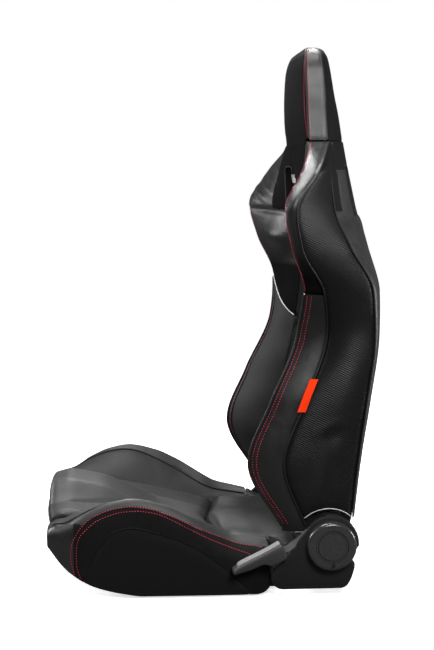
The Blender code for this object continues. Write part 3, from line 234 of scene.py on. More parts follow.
class Workshop:
    """Makes plain mesh objects from rings, routes and node trees."""

    PRESSURE = 4.0
    FRAMES = 20
    SOFTENING = 0.5
    SOFTENING_ROUNDS = 3

    @staticmethod
    def link(name: str, mesh: bpy.types.Mesh) -> Item:
        """Return a linked object that holds the mesh."""
        item = bpy.data.objects.new(name, mesh)
        bpy.context.scene.collection.objects.link(item)
        return item

    @staticmethod
    def shade(mesh: bpy.types.Mesh, sharp: float) -> None:
        """Shade a mesh smooth, with crisp edges above an angle in degrees."""
        mesh.shade_smooth()
        mesh.set_sharp_from_angle(angle=math.radians(sharp))

    @staticmethod
    def made(name: str, body: bmesh.types.BMesh, sharp: float) -> Item:
        """Return a linked object from a finished mesh body."""
        mesh = bpy.data.meshes.new(name)
        body.to_mesh(mesh)
        body.free()
        Workshop.shade(mesh, sharp)
        return Workshop.link(name, mesh)

    @staticmethod
    def loft(name: str, rings: Sequence[Ring], sharp: float = 40.0,
             amounts: Optional[Amounts] = None, looped: bool = False, side: float = 1.0) -> Item:
        """Close a row of equal rings into one smooth solid.

        Args:
            name: Name of the new object.
            rings: Rings of points in millimetres.
            sharp: Angle in degrees above which an edge stays crisp.
            amounts: Distance to lift each point along its normal, ring by ring.
            looped: Join the last ring to the first in place of two end faces.
            side: 1 to keep rings as drawn, -1 to flip them to the other side.

        Returns:
            The new object.
        """
        body = bmesh.new()
        loops = [[body.verts.new(point * MM) for point in mirror(ring, side)] for ring in rings]
        pairs = list(zip(loops, loops[1:]))
        if looped:
            pairs.append((loops[-1], loops[0]))
        for a, b in pairs:
            for i in range(len(a)):
                j = (i + 1) % len(a)
                body.faces.new((a[i], a[j], b[j], b[i]))
        if not looped:
            body.faces.new(loops[0][::-1])
            body.faces.new(loops[-1])
        bmesh.ops.recalc_face_normals(body, faces=body.faces)
        body.normal_update()
        if amounts is not None:
            lifts = [vert.normal * (lift * MM)
                     for loop, row in zip(loops, amounts) for vert, lift in zip(loop, row)]
            verts = [vert for loop in loops for vert in loop]
            for vert, lift in zip(verts, lifts):
                vert.co += lift
        return Workshop.made(name, body, sharp)

    @staticmethod
    def plain(item: Item, sharp: float = 40.0) -> Item:
        """Bake an object's modifiers into its mesh."""
        bpy.context.view_layer.update()
        graph = bpy.context.evaluated_depsgraph_get()
        baked = bpy.data.meshes.new_from_object(item.evaluated_get(graph))
        item.modifiers.clear()
        item.data = baked
        Workshop.shade(baked, sharp)
        return item

    @staticmethod
    def cut(item: Item, tool: Item, sharp: float = 40.0) -> Item:
        """Subtract a tool from an object and remove the tool."""
        step = item.modifiers.new("cut", "BOOLEAN")
        step.operation = "DIFFERENCE"
        step.solver = "EXACT"
        step.object = tool
        Workshop.plain(item, sharp)
        bpy.data.objects.remove(tool, do_unlink=True)
        return item

    @staticmethod
    def turned(name: str, profile: Sequence[Pair], y: float, z: float,
               side: float = 1.0, segments: int = 72) -> Item:
        """Revolve (x, radius) points about the line along X through (y, z)."""
        rings = [[Vector((side * x, y + radius * math.cos(a), z + radius * math.sin(a)))
                  for a in turns(segments)] for x, radius in profile]
        return Workshop.loft(name, rings, 32.0)

    @staticmethod
    def tube(name: str, route: Sequence[Vector], radius: float, sides: int = 10) -> Item:
        """Sweep a round section along a route of points in millimetres."""
        rings = []
        last = len(route) - 1
        normal = Vector((0.0, 0.0, 1.0))
        for i, point in enumerate(route):
            run = (route[min(i + 1, last)] - route[max(i - 1, 0)]).normalized()
            normal = normal - run * normal.dot(run)
            if normal.length < 1e-4:
                normal = run.orthogonal()
            normal.normalize()
            across = run.cross(normal)
            rings.append([point + (normal * math.cos(a) + across * math.sin(a)) * radius
                          for a in turns(sides)])
        return Workshop.loft(name, rings, 60.0)

    @staticmethod
    def joined(name: str, items: Sequence[Item]) -> Item:
        """Join plain meshes into one object and remove the sources."""
        body = bmesh.new()
        for item in items:
            body.from_mesh(item.data)
        for item in items:
            bpy.data.objects.remove(item, do_unlink=True)
        return Workshop.made(name, body, 45.0)

    @staticmethod
    def inflate(item: Item, shrink: float, most: float, voxel: float = 5.0) -> Item:
        """Swell a pad with a short cloth simulation and keep the result as plain mesh.

        Args:
            item: Closed pad.
            shrink: Millimetres taken off the pad before it swells.
            most: Millimetres that any point may move.
            voxel: Edge of the remeshed cells in millimetres.

        Returns:
            The same object with its swollen mesh.
        """
        cells = item.modifiers.new("cells", "REMESH")
        cells.mode = "VOXEL"
        cells.voxel_size = voxel * MM
        Workshop.plain(item)
        for vert, normal in zip(item.data.vertices, [v.normal.copy() for v in item.data.vertices]):
            vert.co -= normal * (shrink * MM)
        start = [vert.co.copy() for vert in item.data.vertices]
        cloth = item.modifiers.new("swell", "CLOTH")
        cloth.settings.use_pressure = True
        cloth.settings.uniform_pressure_force = Workshop.PRESSURE
        cloth.settings.effector_weights.gravity = 0.0
        cloth.point_cache.frame_start = 1
        cloth.point_cache.frame_end = Workshop.FRAMES
        scene = bpy.context.scene
        for frame in range(1, Workshop.FRAMES + 1):
            scene.frame_set(frame)
        Workshop.plain(item)
        scene.frame_set(1)
        for vert, first in zip(item.data.vertices, start):
            move = vert.co - first
            if move.length > most * MM:
                vert.co = first + move.normalized() * (most * MM)
        smooth = item.modifiers.new("soften", "SMOOTH")
        smooth.factor = Workshop.SOFTENING
        smooth.iterations = Workshop.SOFTENING_ROUNDS
        finer = item.modifiers.new("finer", "SUBSURF")
        finer.levels = 1
        finer.render_levels = 1
        return Workshop.plain(item, 75.0)

    @staticmethod
    def press(item: Item, depth: Callable[[Vector], float]) -> None:
        """Press sewn lines into a mesh along its normals.

        Args:
            item: Object to change.
            depth: Gives the depth in millimetres at a point in millimetres.
        """
        verts = item.data.vertices
        normals = [vert.normal.copy() for vert in verts]
        for vert, normal in zip(verts, normals):
            vert.co -= normal * (depth(vert.co / MM) * MM)
        item.data.update()


# Finishes


def spread(tree: bpy.types.NodeTree, value: Socket, ends: dict[str, float]) -> Socket:
    """Return a value spread between the named ends and held there."""
    node = tree.nodes.new("ShaderNodeMapRange")
    for name, end in ends.items():
        node.inputs[name].default_value = end
    tree.links.new(value, node.inputs["Value"])
    return node.outputs["Result"]


def blended(tree: bpy.types.NodeTree, share: Socket, first: Colour, second: Colour) -> Socket:
    """Return a mix of two colours by a share."""
    node = tree.nodes.new("ShaderNodeMix")
    node.data_type = "RGBA"
    node.inputs["A"].default_value = (*first, 1.0)
    node.inputs["B"].default_value = (*second, 1.0)
    tree.links.new(share, node.inputs["Factor"])
    return node.outputs["Result"]


class GroupBuilder:
    """Builds one shader node group with tint, gloss and height outputs."""

    def __init__(self, name: str) -> None:
        """Start an empty group with its coordinate source."""
        self.tree = bpy.data.node_groups.new(name, "ShaderNodeTree")
        for label in ("Tint", "Gloss", "Height"):
            self.tree.interface.new_socket(label, in_out="OUTPUT", socket_type="NodeSocketFloat")
        self.end = self.tree.nodes.new("NodeGroupOutput")
        self.place = self.tree.nodes.new("ShaderNodeTexCoord").outputs["Object"]

    def noise(self, scale: float, detail: float = 3.0, stretch: Optional[Vector] = None) -> Socket:
        """Return a noise value at cells per metre."""
        node = self.tree.nodes.new("ShaderNodeTexNoise")
        node.inputs["Scale"].default_value = scale
        node.inputs["Detail"].default_value = detail
        source = self.place
        if stretch is not None:
            mapping = self.tree.nodes.new("ShaderNodeMapping")
            mapping.inputs["Scale"].default_value = stretch
            self.tree.links.new(source, mapping.inputs["Vector"])
            source = mapping.outputs["Vector"]
        self.tree.links.new(source, node.inputs["Vector"])
        return node.outputs["Fac"]

    def cells(self, scale: float) -> Socket:
        """Return the distance to the nearest cell border."""
        node = self.tree.nodes.new("ShaderNodeTexVoronoi")
        node.feature = "DISTANCE_TO_EDGE"
        node.inputs["Scale"].default_value = scale
        self.tree.links.new(self.place, node.inputs["Vector"])
        return node.outputs["Distance"]

    def waves(self, direction: Vector, pitch: float) -> Socket:
        """Return a sine along a direction with a pitch in millimetres."""
        dot = self.tree.nodes.new("ShaderNodeVectorMath")
        dot.operation = "DOT_PRODUCT"
        dot.inputs[1].default_value = direction.normalized() * (2.0 * math.pi / (pitch * MM))
        self.tree.links.new(self.place, dot.inputs[0])
        return self.math("SINE", dot.outputs["Value"])

    def math(self, operation: str, first: Socket, second: object = 0.5) -> Socket:
        """Return a math node's value from a socket and a socket or number."""
        node = self.tree.nodes.new("ShaderNodeMath")
        node.operation = operation
        self.tree.links.new(first, node.inputs[0])
        if isinstance(second, (int, float)):
            node.inputs[1].default_value = second
        else:
            self.tree.links.new(second, node.inputs[1])
        return node.outputs[0]

    def ranged(self, value: Socket, low: float = 0.3, high: float = 0.7) -> Socket:
        """Return a value spread from low..high to 0..1 and held there."""
        return spread(self.tree, value, {"From Min": low, "From Max": high})

    def upright(self, wave: Socket) -> Socket:
        """Return a wave's -1..1 as 0..1."""
        return self.math("ADD", self.math("MULTIPLY", wave, 0.5), 0.5)

    def done(self, tint: Socket, gloss: Socket, height: Socket) -> Group:
        """Connect the three outputs and return the group."""
        for label, socket in (("Tint", tint), ("Gloss", gloss), ("Height", height)):
            self.tree.links.new(socket, self.end.inputs[label])
        return self.tree


class TextureLibrary:
    """Makes each shared texture group once."""

    def __init__(self) -> None:
        """Start with no groups made."""
        self.made: dict[Texture, Group] = {}

    def get(self, texture: Texture) -> Group:
        """Return the group of a texture, made on first use."""
        if texture not in self.made:
            self.made[texture] = getattr(self, texture.name.lower())(GroupBuilder(texture.value))
        return self.made[texture]

    @staticmethod
    def grain(group: GroupBuilder) -> Group:
        """Return pebbled leather grain with soft creases."""
        pebbles = group.ranged(group.cells(620.0), 0.0, 0.32)
        creases = group.noise(70.0, 4.0)
        broad = group.noise(9.0, 2.0)
        height = group.math("ADD", group.math("MULTIPLY", pebbles, 0.55), creases)
        return group.done(group.ranged(broad), group.ranged(creases), height)

    @staticmethod
    def nap(group: GroupBuilder) -> Group:
        """Return brushed suede with a cloudy nap."""
        fibres = group.noise(1500.0, 2.0, Vector((1.0, 0.35, 1.0)))
        clouds = group.noise(22.0, 4.0)
        return group.done(group.ranged(clouds), fibres, fibres)

    @staticmethod
    def ribs(group: GroupBuilder) -> Group:
        """Return fine diagonal ribs."""
        slope = math.radians(26.0)
        rib = group.waves(Vector((0.0, math.sin(slope), math.cos(slope))), 3.5)
        level = group.upright(rib)
        sheen = group.ranged(group.noise(12.0, 2.0))
        return group.done(level, sheen, level)

    @staticmethod
    def paint(group: GroupBuilder) -> Group:
        """Return sprayed paint with orange peel and dust."""
        peel = group.noise(420.0, 2.0)
        dust = group.noise(35.0, 5.0)
        return group.done(group.ranged(dust, 0.35, 0.75), group.ranged(dust, 0.2, 0.8), peel)

    @staticmethod
    def brushed(group: GroupBuilder) -> Group:
        """Return metal with fine lengthwise brushing."""
        lines = group.noise(900.0, 2.0, Vector((1.0, 0.05, 1.0)))
        cloud = group.noise(25.0, 3.0)
        return group.done(group.ranged(cloud), lines, lines)

    @staticmethod
    def moulded(group: GroupBuilder) -> Group:
        """Return moulded plastic with a spark-eroded skin."""
        skin = group.ranged(group.cells(900.0), 0.0, 0.4)
        speckle = group.noise(240.0, 3.0)
        height = group.math("ADD", skin, speckle)
        return group.done(group.ranged(speckle), group.ranged(speckle, 0.2, 0.8), height)

    @staticmethod
    def woven(group: GroupBuilder) -> Group:
        """Return a fine plain weave."""
        warp = group.waves(Vector((0.0, 1.0, 0.0)), 0.9)
        weft = group.waves(Vector((0.0, 0.0, 1.0)), 0.9)
        level = group.upright(group.math("MULTIPLY", warp, weft))
        return group.done(level, level, level)

    @staticmethod
    def twist(group: GroupBuilder) -> Group:
        """Return twisted thread."""
        plies = group.waves(Vector((0.3, 0.7, 0.7)), 0.8)
        level = group.upright(plies)
        return group.done(level, level, level)


TEXTURES = TextureLibrary()


@dataclass(frozen=True)
class Finish:
    """One surface finish: colours, gloss and the texture it carries."""

    name: str
    slot: str
    dark: Colour
    light: Colour
    rough_low: float
    rough_high: float
    texture: Texture
    bump: float
    relief: float
    metallic: float = 0.0
    specular: float = 0.5
    fade: Optional[Pair] = None

    def material(self) -> bpy.types.Material:
        """Return the finish's material, made on first use."""
        known = bpy.data.materials.get(self.name)
        if known is not None:
            return known
        made = bpy.data.materials.new(self.name)
        made.use_nodes = True
        tree = made.node_tree
        links = tree.links
        shader = tree.nodes["Principled BSDF"]
        group = tree.nodes.new("ShaderNodeGroup")
        group.node_tree = TEXTURES.get(self.texture)
        colour = blended(tree, group.outputs["Tint"], self.dark, self.light)
        links.new(colour, shader.inputs["Base Color"])
        gloss = spread(tree, group.outputs["Gloss"], {"To Min": self.rough_low, "To Max": self.rough_high})
        links.new(gloss, shader.inputs["Roughness"])
        bump = tree.nodes.new("ShaderNodeBump")
        bump.inputs["Strength"].default_value = self.bump
        bump.inputs["Distance"].default_value = self.relief * MM
        links.new(group.outputs["Height"], bump.inputs["Height"])
        links.new(bump.outputs["Normal"], shader.inputs["Normal"])
        shader.inputs["Metallic"].default_value = self.metallic
        shader.inputs["Specular IOR Level"].default_value = self.specular
        if self.fade is not None:
            self.dull_towards(tree, shader)
        return made

    def dull_towards(self, tree: bpy.types.NodeTree, shader: bpy.types.Node) -> None:
        """Let the shine die away from the fade's second height towards its first."""
        height = tree.nodes.new("ShaderNodeSeparateXYZ")
        tree.links.new(tree.nodes.new("ShaderNodeTexCoord").outputs["Object"], height.inputs[0])
        low, high = self.fade
        ends = {"From Min": low * MM, "From Max": high * MM, "To Max": self.specular}
        tree.links.new(spread(tree, height.outputs["Z"], ends), shader.inputs["Specular IOR Level"])


def grey(level: float, blue: Optional[float] = None) -> Colour:
    """Return a grey of one level, or with a blue of its own."""
    return level, level, level if blue is None else blue


LEATHER = Finish("charcoal_leatherette", "leatherette", grey(0.006, 0.0062), grey(0.010, 0.0103),
                 0.29, 0.42, Texture.GRAIN, 0.35, 0.5)
WING_LEATHER = replace(LEATHER, name="wing_leatherette", fade=(545.0, 650.0))
HEAD_LEATHER = replace(LEATHER, name="head_leatherette", fade=(952.0, 928.0))
BLACK_LEATHER = Finish("black_leatherette", "leatherette", grey(0.004), grey(0.007),
                       0.68, 0.82, Texture.GRAIN, 0.35, 0.5, specular=0.10)
SIDE_LEATHER = Finish("satin_leatherette", "leatherette", grey(0.005), grey(0.008),
                      0.34, 0.47, Texture.GRAIN, 0.35, 0.5, specular=0.34)
WELT = Finish("black_welt", "leatherette", grey(0.005), grey(0.008),
              0.46, 0.60, Texture.GRAIN, 0.20, 0.3, specular=0.28)
SUEDE = Finish("charcoal_suede", "suede_cloth", grey(0.016, 0.0163), grey(0.025, 0.0254),
               0.44, 0.60, Texture.NAP, 0.30, 0.4, specular=0.38)
SIDE_SUEDE = Finish("satin_suede", "suede_cloth", grey(0.012, 0.0122), grey(0.018, 0.0183),
                    0.46, 0.62, Texture.NAP, 0.30, 0.4, specular=0.22)
DARK_SUEDE = Finish("dark_suede", "suede_cloth", grey(0.010, 0.0102), grey(0.016, 0.0163),
                    0.55, 0.75, Texture.NAP, 0.30, 0.4, specular=0.25)
# Near-black suede: the headrest pad's own cover, and painted shade where it covers the back inserts and the
# wings' inner halves.
BLACK_SUEDE_AND_SHADE = Finish("black_suede", "suede_cloth", grey(0.004), grey(0.007),
                    0.85, 0.95, Texture.NAP, 0.25, 0.3, specular=0.06)
RIBBED = Finish("ribbed_vinyl", "carbon_look_vinyl", grey(0.001), grey(0.008, 0.0083),
                0.36, 0.50, Texture.RIBS, 0.50, 0.7, specular=0.17)
SKIRT = Finish("matt_ribbed_vinyl", "carbon_look_vinyl", grey(0.002), grey(0.009, 0.0092),
               0.55, 0.68, Texture.RIBS, 0.25, 0.5, specular=0.12)
LINING = Finish("back_leatherette", "back_lining", grey(0.013, 0.0135), grey(0.019, 0.0195),
                0.38, 0.52, Texture.GRAIN, 0.30, 0.5)
PAINT = Finish("black_paint", "painted_steel", grey(0.010), (0.024, 0.023, 0.022),
               0.30, 0.55, Texture.PAINT, 0.15, 0.3)
ZINC = Finish("bright_zinc", "bright_steel", grey(0.42, 0.43), grey(0.60),
              0.25, 0.42, Texture.BRUSHED, 0.15, 0.2, metallic=1.0)
DARK_STEEL = Finish("dark_steel", "bright_steel", grey(0.24), grey(0.36),
                    0.32, 0.48, Texture.BRUSHED, 0.15, 0.2, metallic=1.0)
WIRE = Finish("oiled_wire", "spring_steel", grey(0.16), (0.30, 0.29, 0.28),
              0.28, 0.45, Texture.BRUSHED, 0.15, 0.2, metallic=1.0)
PLASTIC = Finish("textured_plastic", "moulded_plastic", grey(0.020, 0.0205), grey(0.030, 0.0305),
                 0.46, 0.60, Texture.MOULDED, 0.25, 0.3)
COVER = Finish("matt_plastic", "moulded_plastic", grey(0.006), grey(0.010),
               0.55, 0.70, Texture.MOULDED, 0.25, 0.3, specular=0.20)
CAP = Finish("satin_plastic", "moulded_plastic", grey(0.020, 0.0205), grey(0.028, 0.0285),
             0.17, 0.26, Texture.MOULDED, 0.12, 0.2)
# Pale plastic for the slot tab; its light colour paints the bright spot of light seen at the slot.
PALE = Finish("pale_plastic", "light_plastic", grey(0.34), grey(0.46),
              0.38, 0.55, Texture.MOULDED, 0.20, 0.2)
GRIP = Finish("grip_plastic", "light_plastic", grey(0.13), grey(0.20),
              0.40, 0.55, Texture.MOULDED, 0.20, 0.2)
RED_THREAD = Finish("red_thread", "tag_cloth", (0.42, 0.012, 0.045), (0.66, 0.030, 0.085),
                    0.55, 0.75, Texture.TWIST, 0.30, 0.2)
GREY_THREAD = Finish("grey_thread", "suede_cloth", grey(0.13), grey(0.20),
                     0.55, 0.75, Texture.TWIST, 0.30, 0.2)
DARK_THREAD = Finish("dark_thread", "suede_cloth", grey(0.020), grey(0.034),
                     0.60, 0.80, Texture.TWIST, 0.30, 0.2, specular=0.2)
# Pale cord for the seam and hem piping; its light colour also paints the highlight that those edges catch.
PALE_HIGHLIGHT_CORD = Finish("pale_cord", "light_plastic", grey(0.46), grey(0.60),
                   0.35, 0.50, Texture.GRAIN, 0.10, 0.2)
TAG = Finish("tag_weave", "tag_cloth", (0.80, 0.030, 0.002), (0.95, 0.046, 0.004),
             0.70, 0.85, Texture.WOVEN, 0.40, 0.2, specular=0.10)


def dress(item: Item, finish: Finish, body: Body, *nodes: str) -> Item:
    """Give a piece its finish and body, and hide the nodes it stands for.

    Args:
        item: Finished piece.
        finish: Its surface.
        body: Body that it moves with.
        nodes: Solids of the frame that it replaces.

    Returns:
        The same piece.
    """
    item.data.materials.clear()
    item.data.materials.append(finish.material())
    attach(item, body.value)
    if nodes:
        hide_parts(*nodes)
    LOG.info("%s on %s, %d faces", item.name, body.value, len(item.data.polygons))
    return item


def second_finish(item: Item, finish: Finish, chosen: Callable[[Vector], bool]) -> None:
    """Give part of a piece another finish.

    Args:
        item: Dressed piece.
        finish: Finish of the chosen part.
        chosen: Tells from a face's middle in millimetres whether it belongs to that part.
    """
    place = len(item.data.materials)
    item.data.materials.append(finish.material())
    for face in item.data.polygons:
        if chosen(face.center / MM):
            face.material_index = place


SIDES = (("left", 1.0), ("right", -1.0))


# Stitches


class StitchTree:
    """Geometry node tree that sews a row of stitches along every given line."""

    def __init__(self) -> None:
        """Build the tree with its named inputs."""
        self.tree = bpy.data.node_groups.new("stitch_row", "GeometryNodeTree")
        self.ids: dict[str, str] = {}
        face = self.tree.interface
        face.new_socket("Geometry", in_out="INPUT", socket_type="NodeSocketGeometry")
        for label, kind in (("Pitch", "NodeSocketFloat"), ("Length", "NodeSocketFloat"),
                            ("Radius", "NodeSocketFloat"), ("Thread", "NodeSocketMaterial")):
            self.ids[label] = face.new_socket(label, in_out="INPUT", socket_type=kind).identifier
        face.new_socket("Geometry", in_out="OUTPUT", socket_type="NodeSocketGeometry")
        self.build()

    def build(self) -> None:
        """Add and connect the nodes."""
        new = self.tree.nodes.new
        start = new("NodeGroupInput")
        lines = new("GeometryNodeMeshToCurve")
        even = new("GeometryNodeResampleCurve")
        even.mode = "LENGTH"
        ball = new("GeometryNodeMeshIcoSphere")
        ball.inputs["Subdivisions"].default_value = 2
        ball.inputs["Radius"].default_value = 0.5
        size = new("ShaderNodeCombineXYZ")
        girth = new("ShaderNodeMath")
        girth.operation = "MULTIPLY"
        girth.inputs[1].default_value = 2.0
        shape = new("GeometryNodeTransform")
        tangent = new("GeometryNodeInputTangent")
        turn = new("FunctionNodeAlignRotationToVector")
        turn.axis = "X"
        sew = new("GeometryNodeInstanceOnPoints")
        whole = new("GeometryNodeRealizeInstances")
        thread = new("GeometryNodeSetMaterial")
        end = new("NodeGroupOutput")
        for source, out, target, place in (
            (start, "Geometry", lines, "Mesh"), (lines, "Curve", even, "Curve"),
            (start, "Pitch", even, "Length"), (start, "Radius", girth, 0),
            (start, "Length", size, "X"), (girth, 0, size, "Y"), (girth, 0, size, "Z"),
            (ball, "Mesh", shape, "Geometry"), (size, "Vector", shape, "Scale"),
            (tangent, "Tangent", turn, "Vector"), (even, "Curve", sew, "Points"),
            (shape, "Geometry", sew, "Instance"), (turn, "Rotation", sew, "Rotation"),
            (sew, "Instances", whole, "Geometry"), (whole, "Geometry", thread, "Geometry"),
            (start, "Thread", thread, "Material"), (thread, "Geometry", end, "Geometry"),
        ):
            self.tree.links.new(source.outputs[out], target.inputs[place])


@dataclass
class Needle:
    """Collects stitch lines and sews them into one piece for each thread and body."""

    tree: StitchTree
    pitch: float = 4.7
    length: float = 2.4
    radius: float = 0.68
    lines: dict[tuple[Finish, Body], list[Ring]] = field(default_factory=dict)

    def row(self, thread: Finish, body: Body, route: Ring) -> None:
        """Add one row of stitches along a route in millimetres."""
        self.lines.setdefault((thread, body), []).append(route)

    def sew(self) -> None:
        """Turn all collected rows into finished pieces."""
        for (thread, body), routes in self.lines.items():
            name = f"{thread.name}_{body.value}"
            verts: list[Vector] = []
            edges: list[tuple[int, int]] = []
            for route in routes:
                first = len(verts)
                verts += [point * MM for point in route]
                edges += [(first + i, first + i + 1) for i in range(len(route) - 1)]
            mesh = bpy.data.meshes.new(name)
            mesh.from_pydata(verts, edges, [])
            item = Workshop.link(name, mesh)
            step = item.modifiers.new("stitches", "NODES")
            step.node_group = self.tree.tree
            ids = self.tree.ids
            step[ids["Pitch"]] = self.pitch * MM
            step[ids["Length"]] = self.length * MM
            step[ids["Radius"]] = self.radius * MM
            step[ids["Thread"]] = thread.material()
            dress(Workshop.plain(item, 80.0), thread, body)


# Backrest


LEVELS = (112.0, 225.9, 329.75, 446.0, 520.0, 600.1, 665.1, 725.05, 782.0)
HINGE_Y = 176.0
HINGE_Z = 92.0
SEAM = 0.8
SKIN = 3.0
UNDER_PANEL = 4.2
CHANNEL = 4.0


def around(radius: float, first: float, last: float, count: int) -> list[Vector]:
    """Return (y, z) points on an arc about the recline axis, between two angles in degrees."""
    angles = [math.radians(angle) for angle in steps(first, last, count)]
    return [Vector((HINGE_Y + radius * math.cos(a), HINGE_Z + radius * math.sin(a))) for a in angles]


def levels(*values: float) -> Curve:
    """Return the curve that takes these values at the backrest's levels."""
    return Curve(list(zip(LEVELS, values)))


class BackForm:
    """Curves of the backrest over height."""

    ridge_depth = levels(98, 39, 77, 125, 133, 105, 90, 120, 155)
    ridge_half = levels(222, 222, 219, 200, 227, 276, 300, 272, 150)
    strip_depth = levels(40, 60, 57, 50, 33, 15, 18, 27, 29)
    piping_depth = levels(216, 228, 242, 256, 253, 213, 187, 182, 191)
    piping_half = levels(236, 236, 236, 234, 231, 222, 210, 201, 152)
    front_depth = levels(148, 128, 139, 160, 167, 169, 166, 154, 142)
    inner_half = levels(138, 134, 129, 122, 122, 120, 84, 84, 134)
    cavity_depth = levels(197, 198, 200, 209, 211, 204, 196, 191, 188)
    spine_depth = levels(238, 252, 270, 285, 288, 274, 254, 240, 230)
    face_crown = levels(9, 9, 9, 8, 7, 5, 3, 3, 4)
    crown_power = levels(0.6, 0.6, 0.6, 0.6, 0.62, 0.75, 0.8, 0.8, 0.8)

    @staticmethod
    def back_arc(half: float, edge: float, crown: float, z: float, share: float) -> Vector:
        """Return a point over the back at a share of its half width."""
        swell = max(0.0, 1.0 - share * share) ** BackForm.crown_power(z)
        return Vector((half * share, edge + (crown - edge) * swell, z))


class Slice:
    """Left half of the backrest at one height, in plan."""

    FLARE = 13.0
    STRIP_CROWN = 3.0
    PANEL_CROWN = 8.0

    def __init__(self, z: float) -> None:
        """Work out the corner points at a height."""
        form = BackForm
        self.z = z
        self.inner = form.inner_half(z) + 0.5 * SEAM
        self.start = Vector((self.inner, form.front_depth(z) + CHANNEL))
        self.ridge = Vector((form.ridge_half(z), form.ridge_depth(z)))
        self.seam = self.ridge + Vector((self.FLARE, form.strip_depth(z)))
        self.piping = Vector((form.piping_half(z), form.piping_depth(z)))
        chord = self.piping - self.seam
        crown = self.PANEL_CROWN * min(1.0, chord.length / 80.0)
        self.panel_pull = 0.5 * (self.seam + self.piping) + outward(chord) * (2.0 * crown)
        bow = outward(self.ridge - self.start) * form.face_crown(z)
        self.face_pull = 0.5 * (self.start + self.ridge) + 2.0 * bow
        bow = outward(self.seam - self.ridge) * self.STRIP_CROWN
        self.strip_pull = 0.5 * (self.ridge + self.seam) + 2.0 * bow

    def at(self, point: Vector) -> Vector:
        """Return a plan point lifted to this height."""
        return Vector((point.x, point.y, self.z))

    def face(self, t: float, lift: float = 0.0) -> Vector:
        """Return a plan point on the padded front face, lifted off it."""
        return lifted(self.start, self.face_pull, self.ridge, t, lift)

    def strip(self, t: float, lift: float = 0.0) -> Vector:
        """Return a plan point on the side strip, lifted off it."""
        return lifted(self.ridge, self.strip_pull, self.seam, t, lift)

    def panel(self, t: float, lift: float = 0.0) -> Vector:
        """Return a plan point on the side panel, lifted off it."""
        return lifted(self.seam, self.panel_pull, self.piping, t, lift)

    def foam_end(self) -> float:
        """Return how far along the panel the foam reaches before the cavity."""
        limit = min(BackForm.cavity_depth(self.z), self.piping.y - 3.0)
        return max(0.02, solve(lambda t: self.panel(t, -UNDER_PANEL).y - limit, 0.02, 1.0))


def rail(curve: Callable[[Slice], Vector], low: float, high: float, count: int) -> Ring:
    """Return a route up the backrest between two heights, along a curve given for its slices."""
    cuts = [Slice(z) for z in steps(low, high, count)]
    return [cut.at(curve(cut)) for cut in cuts]


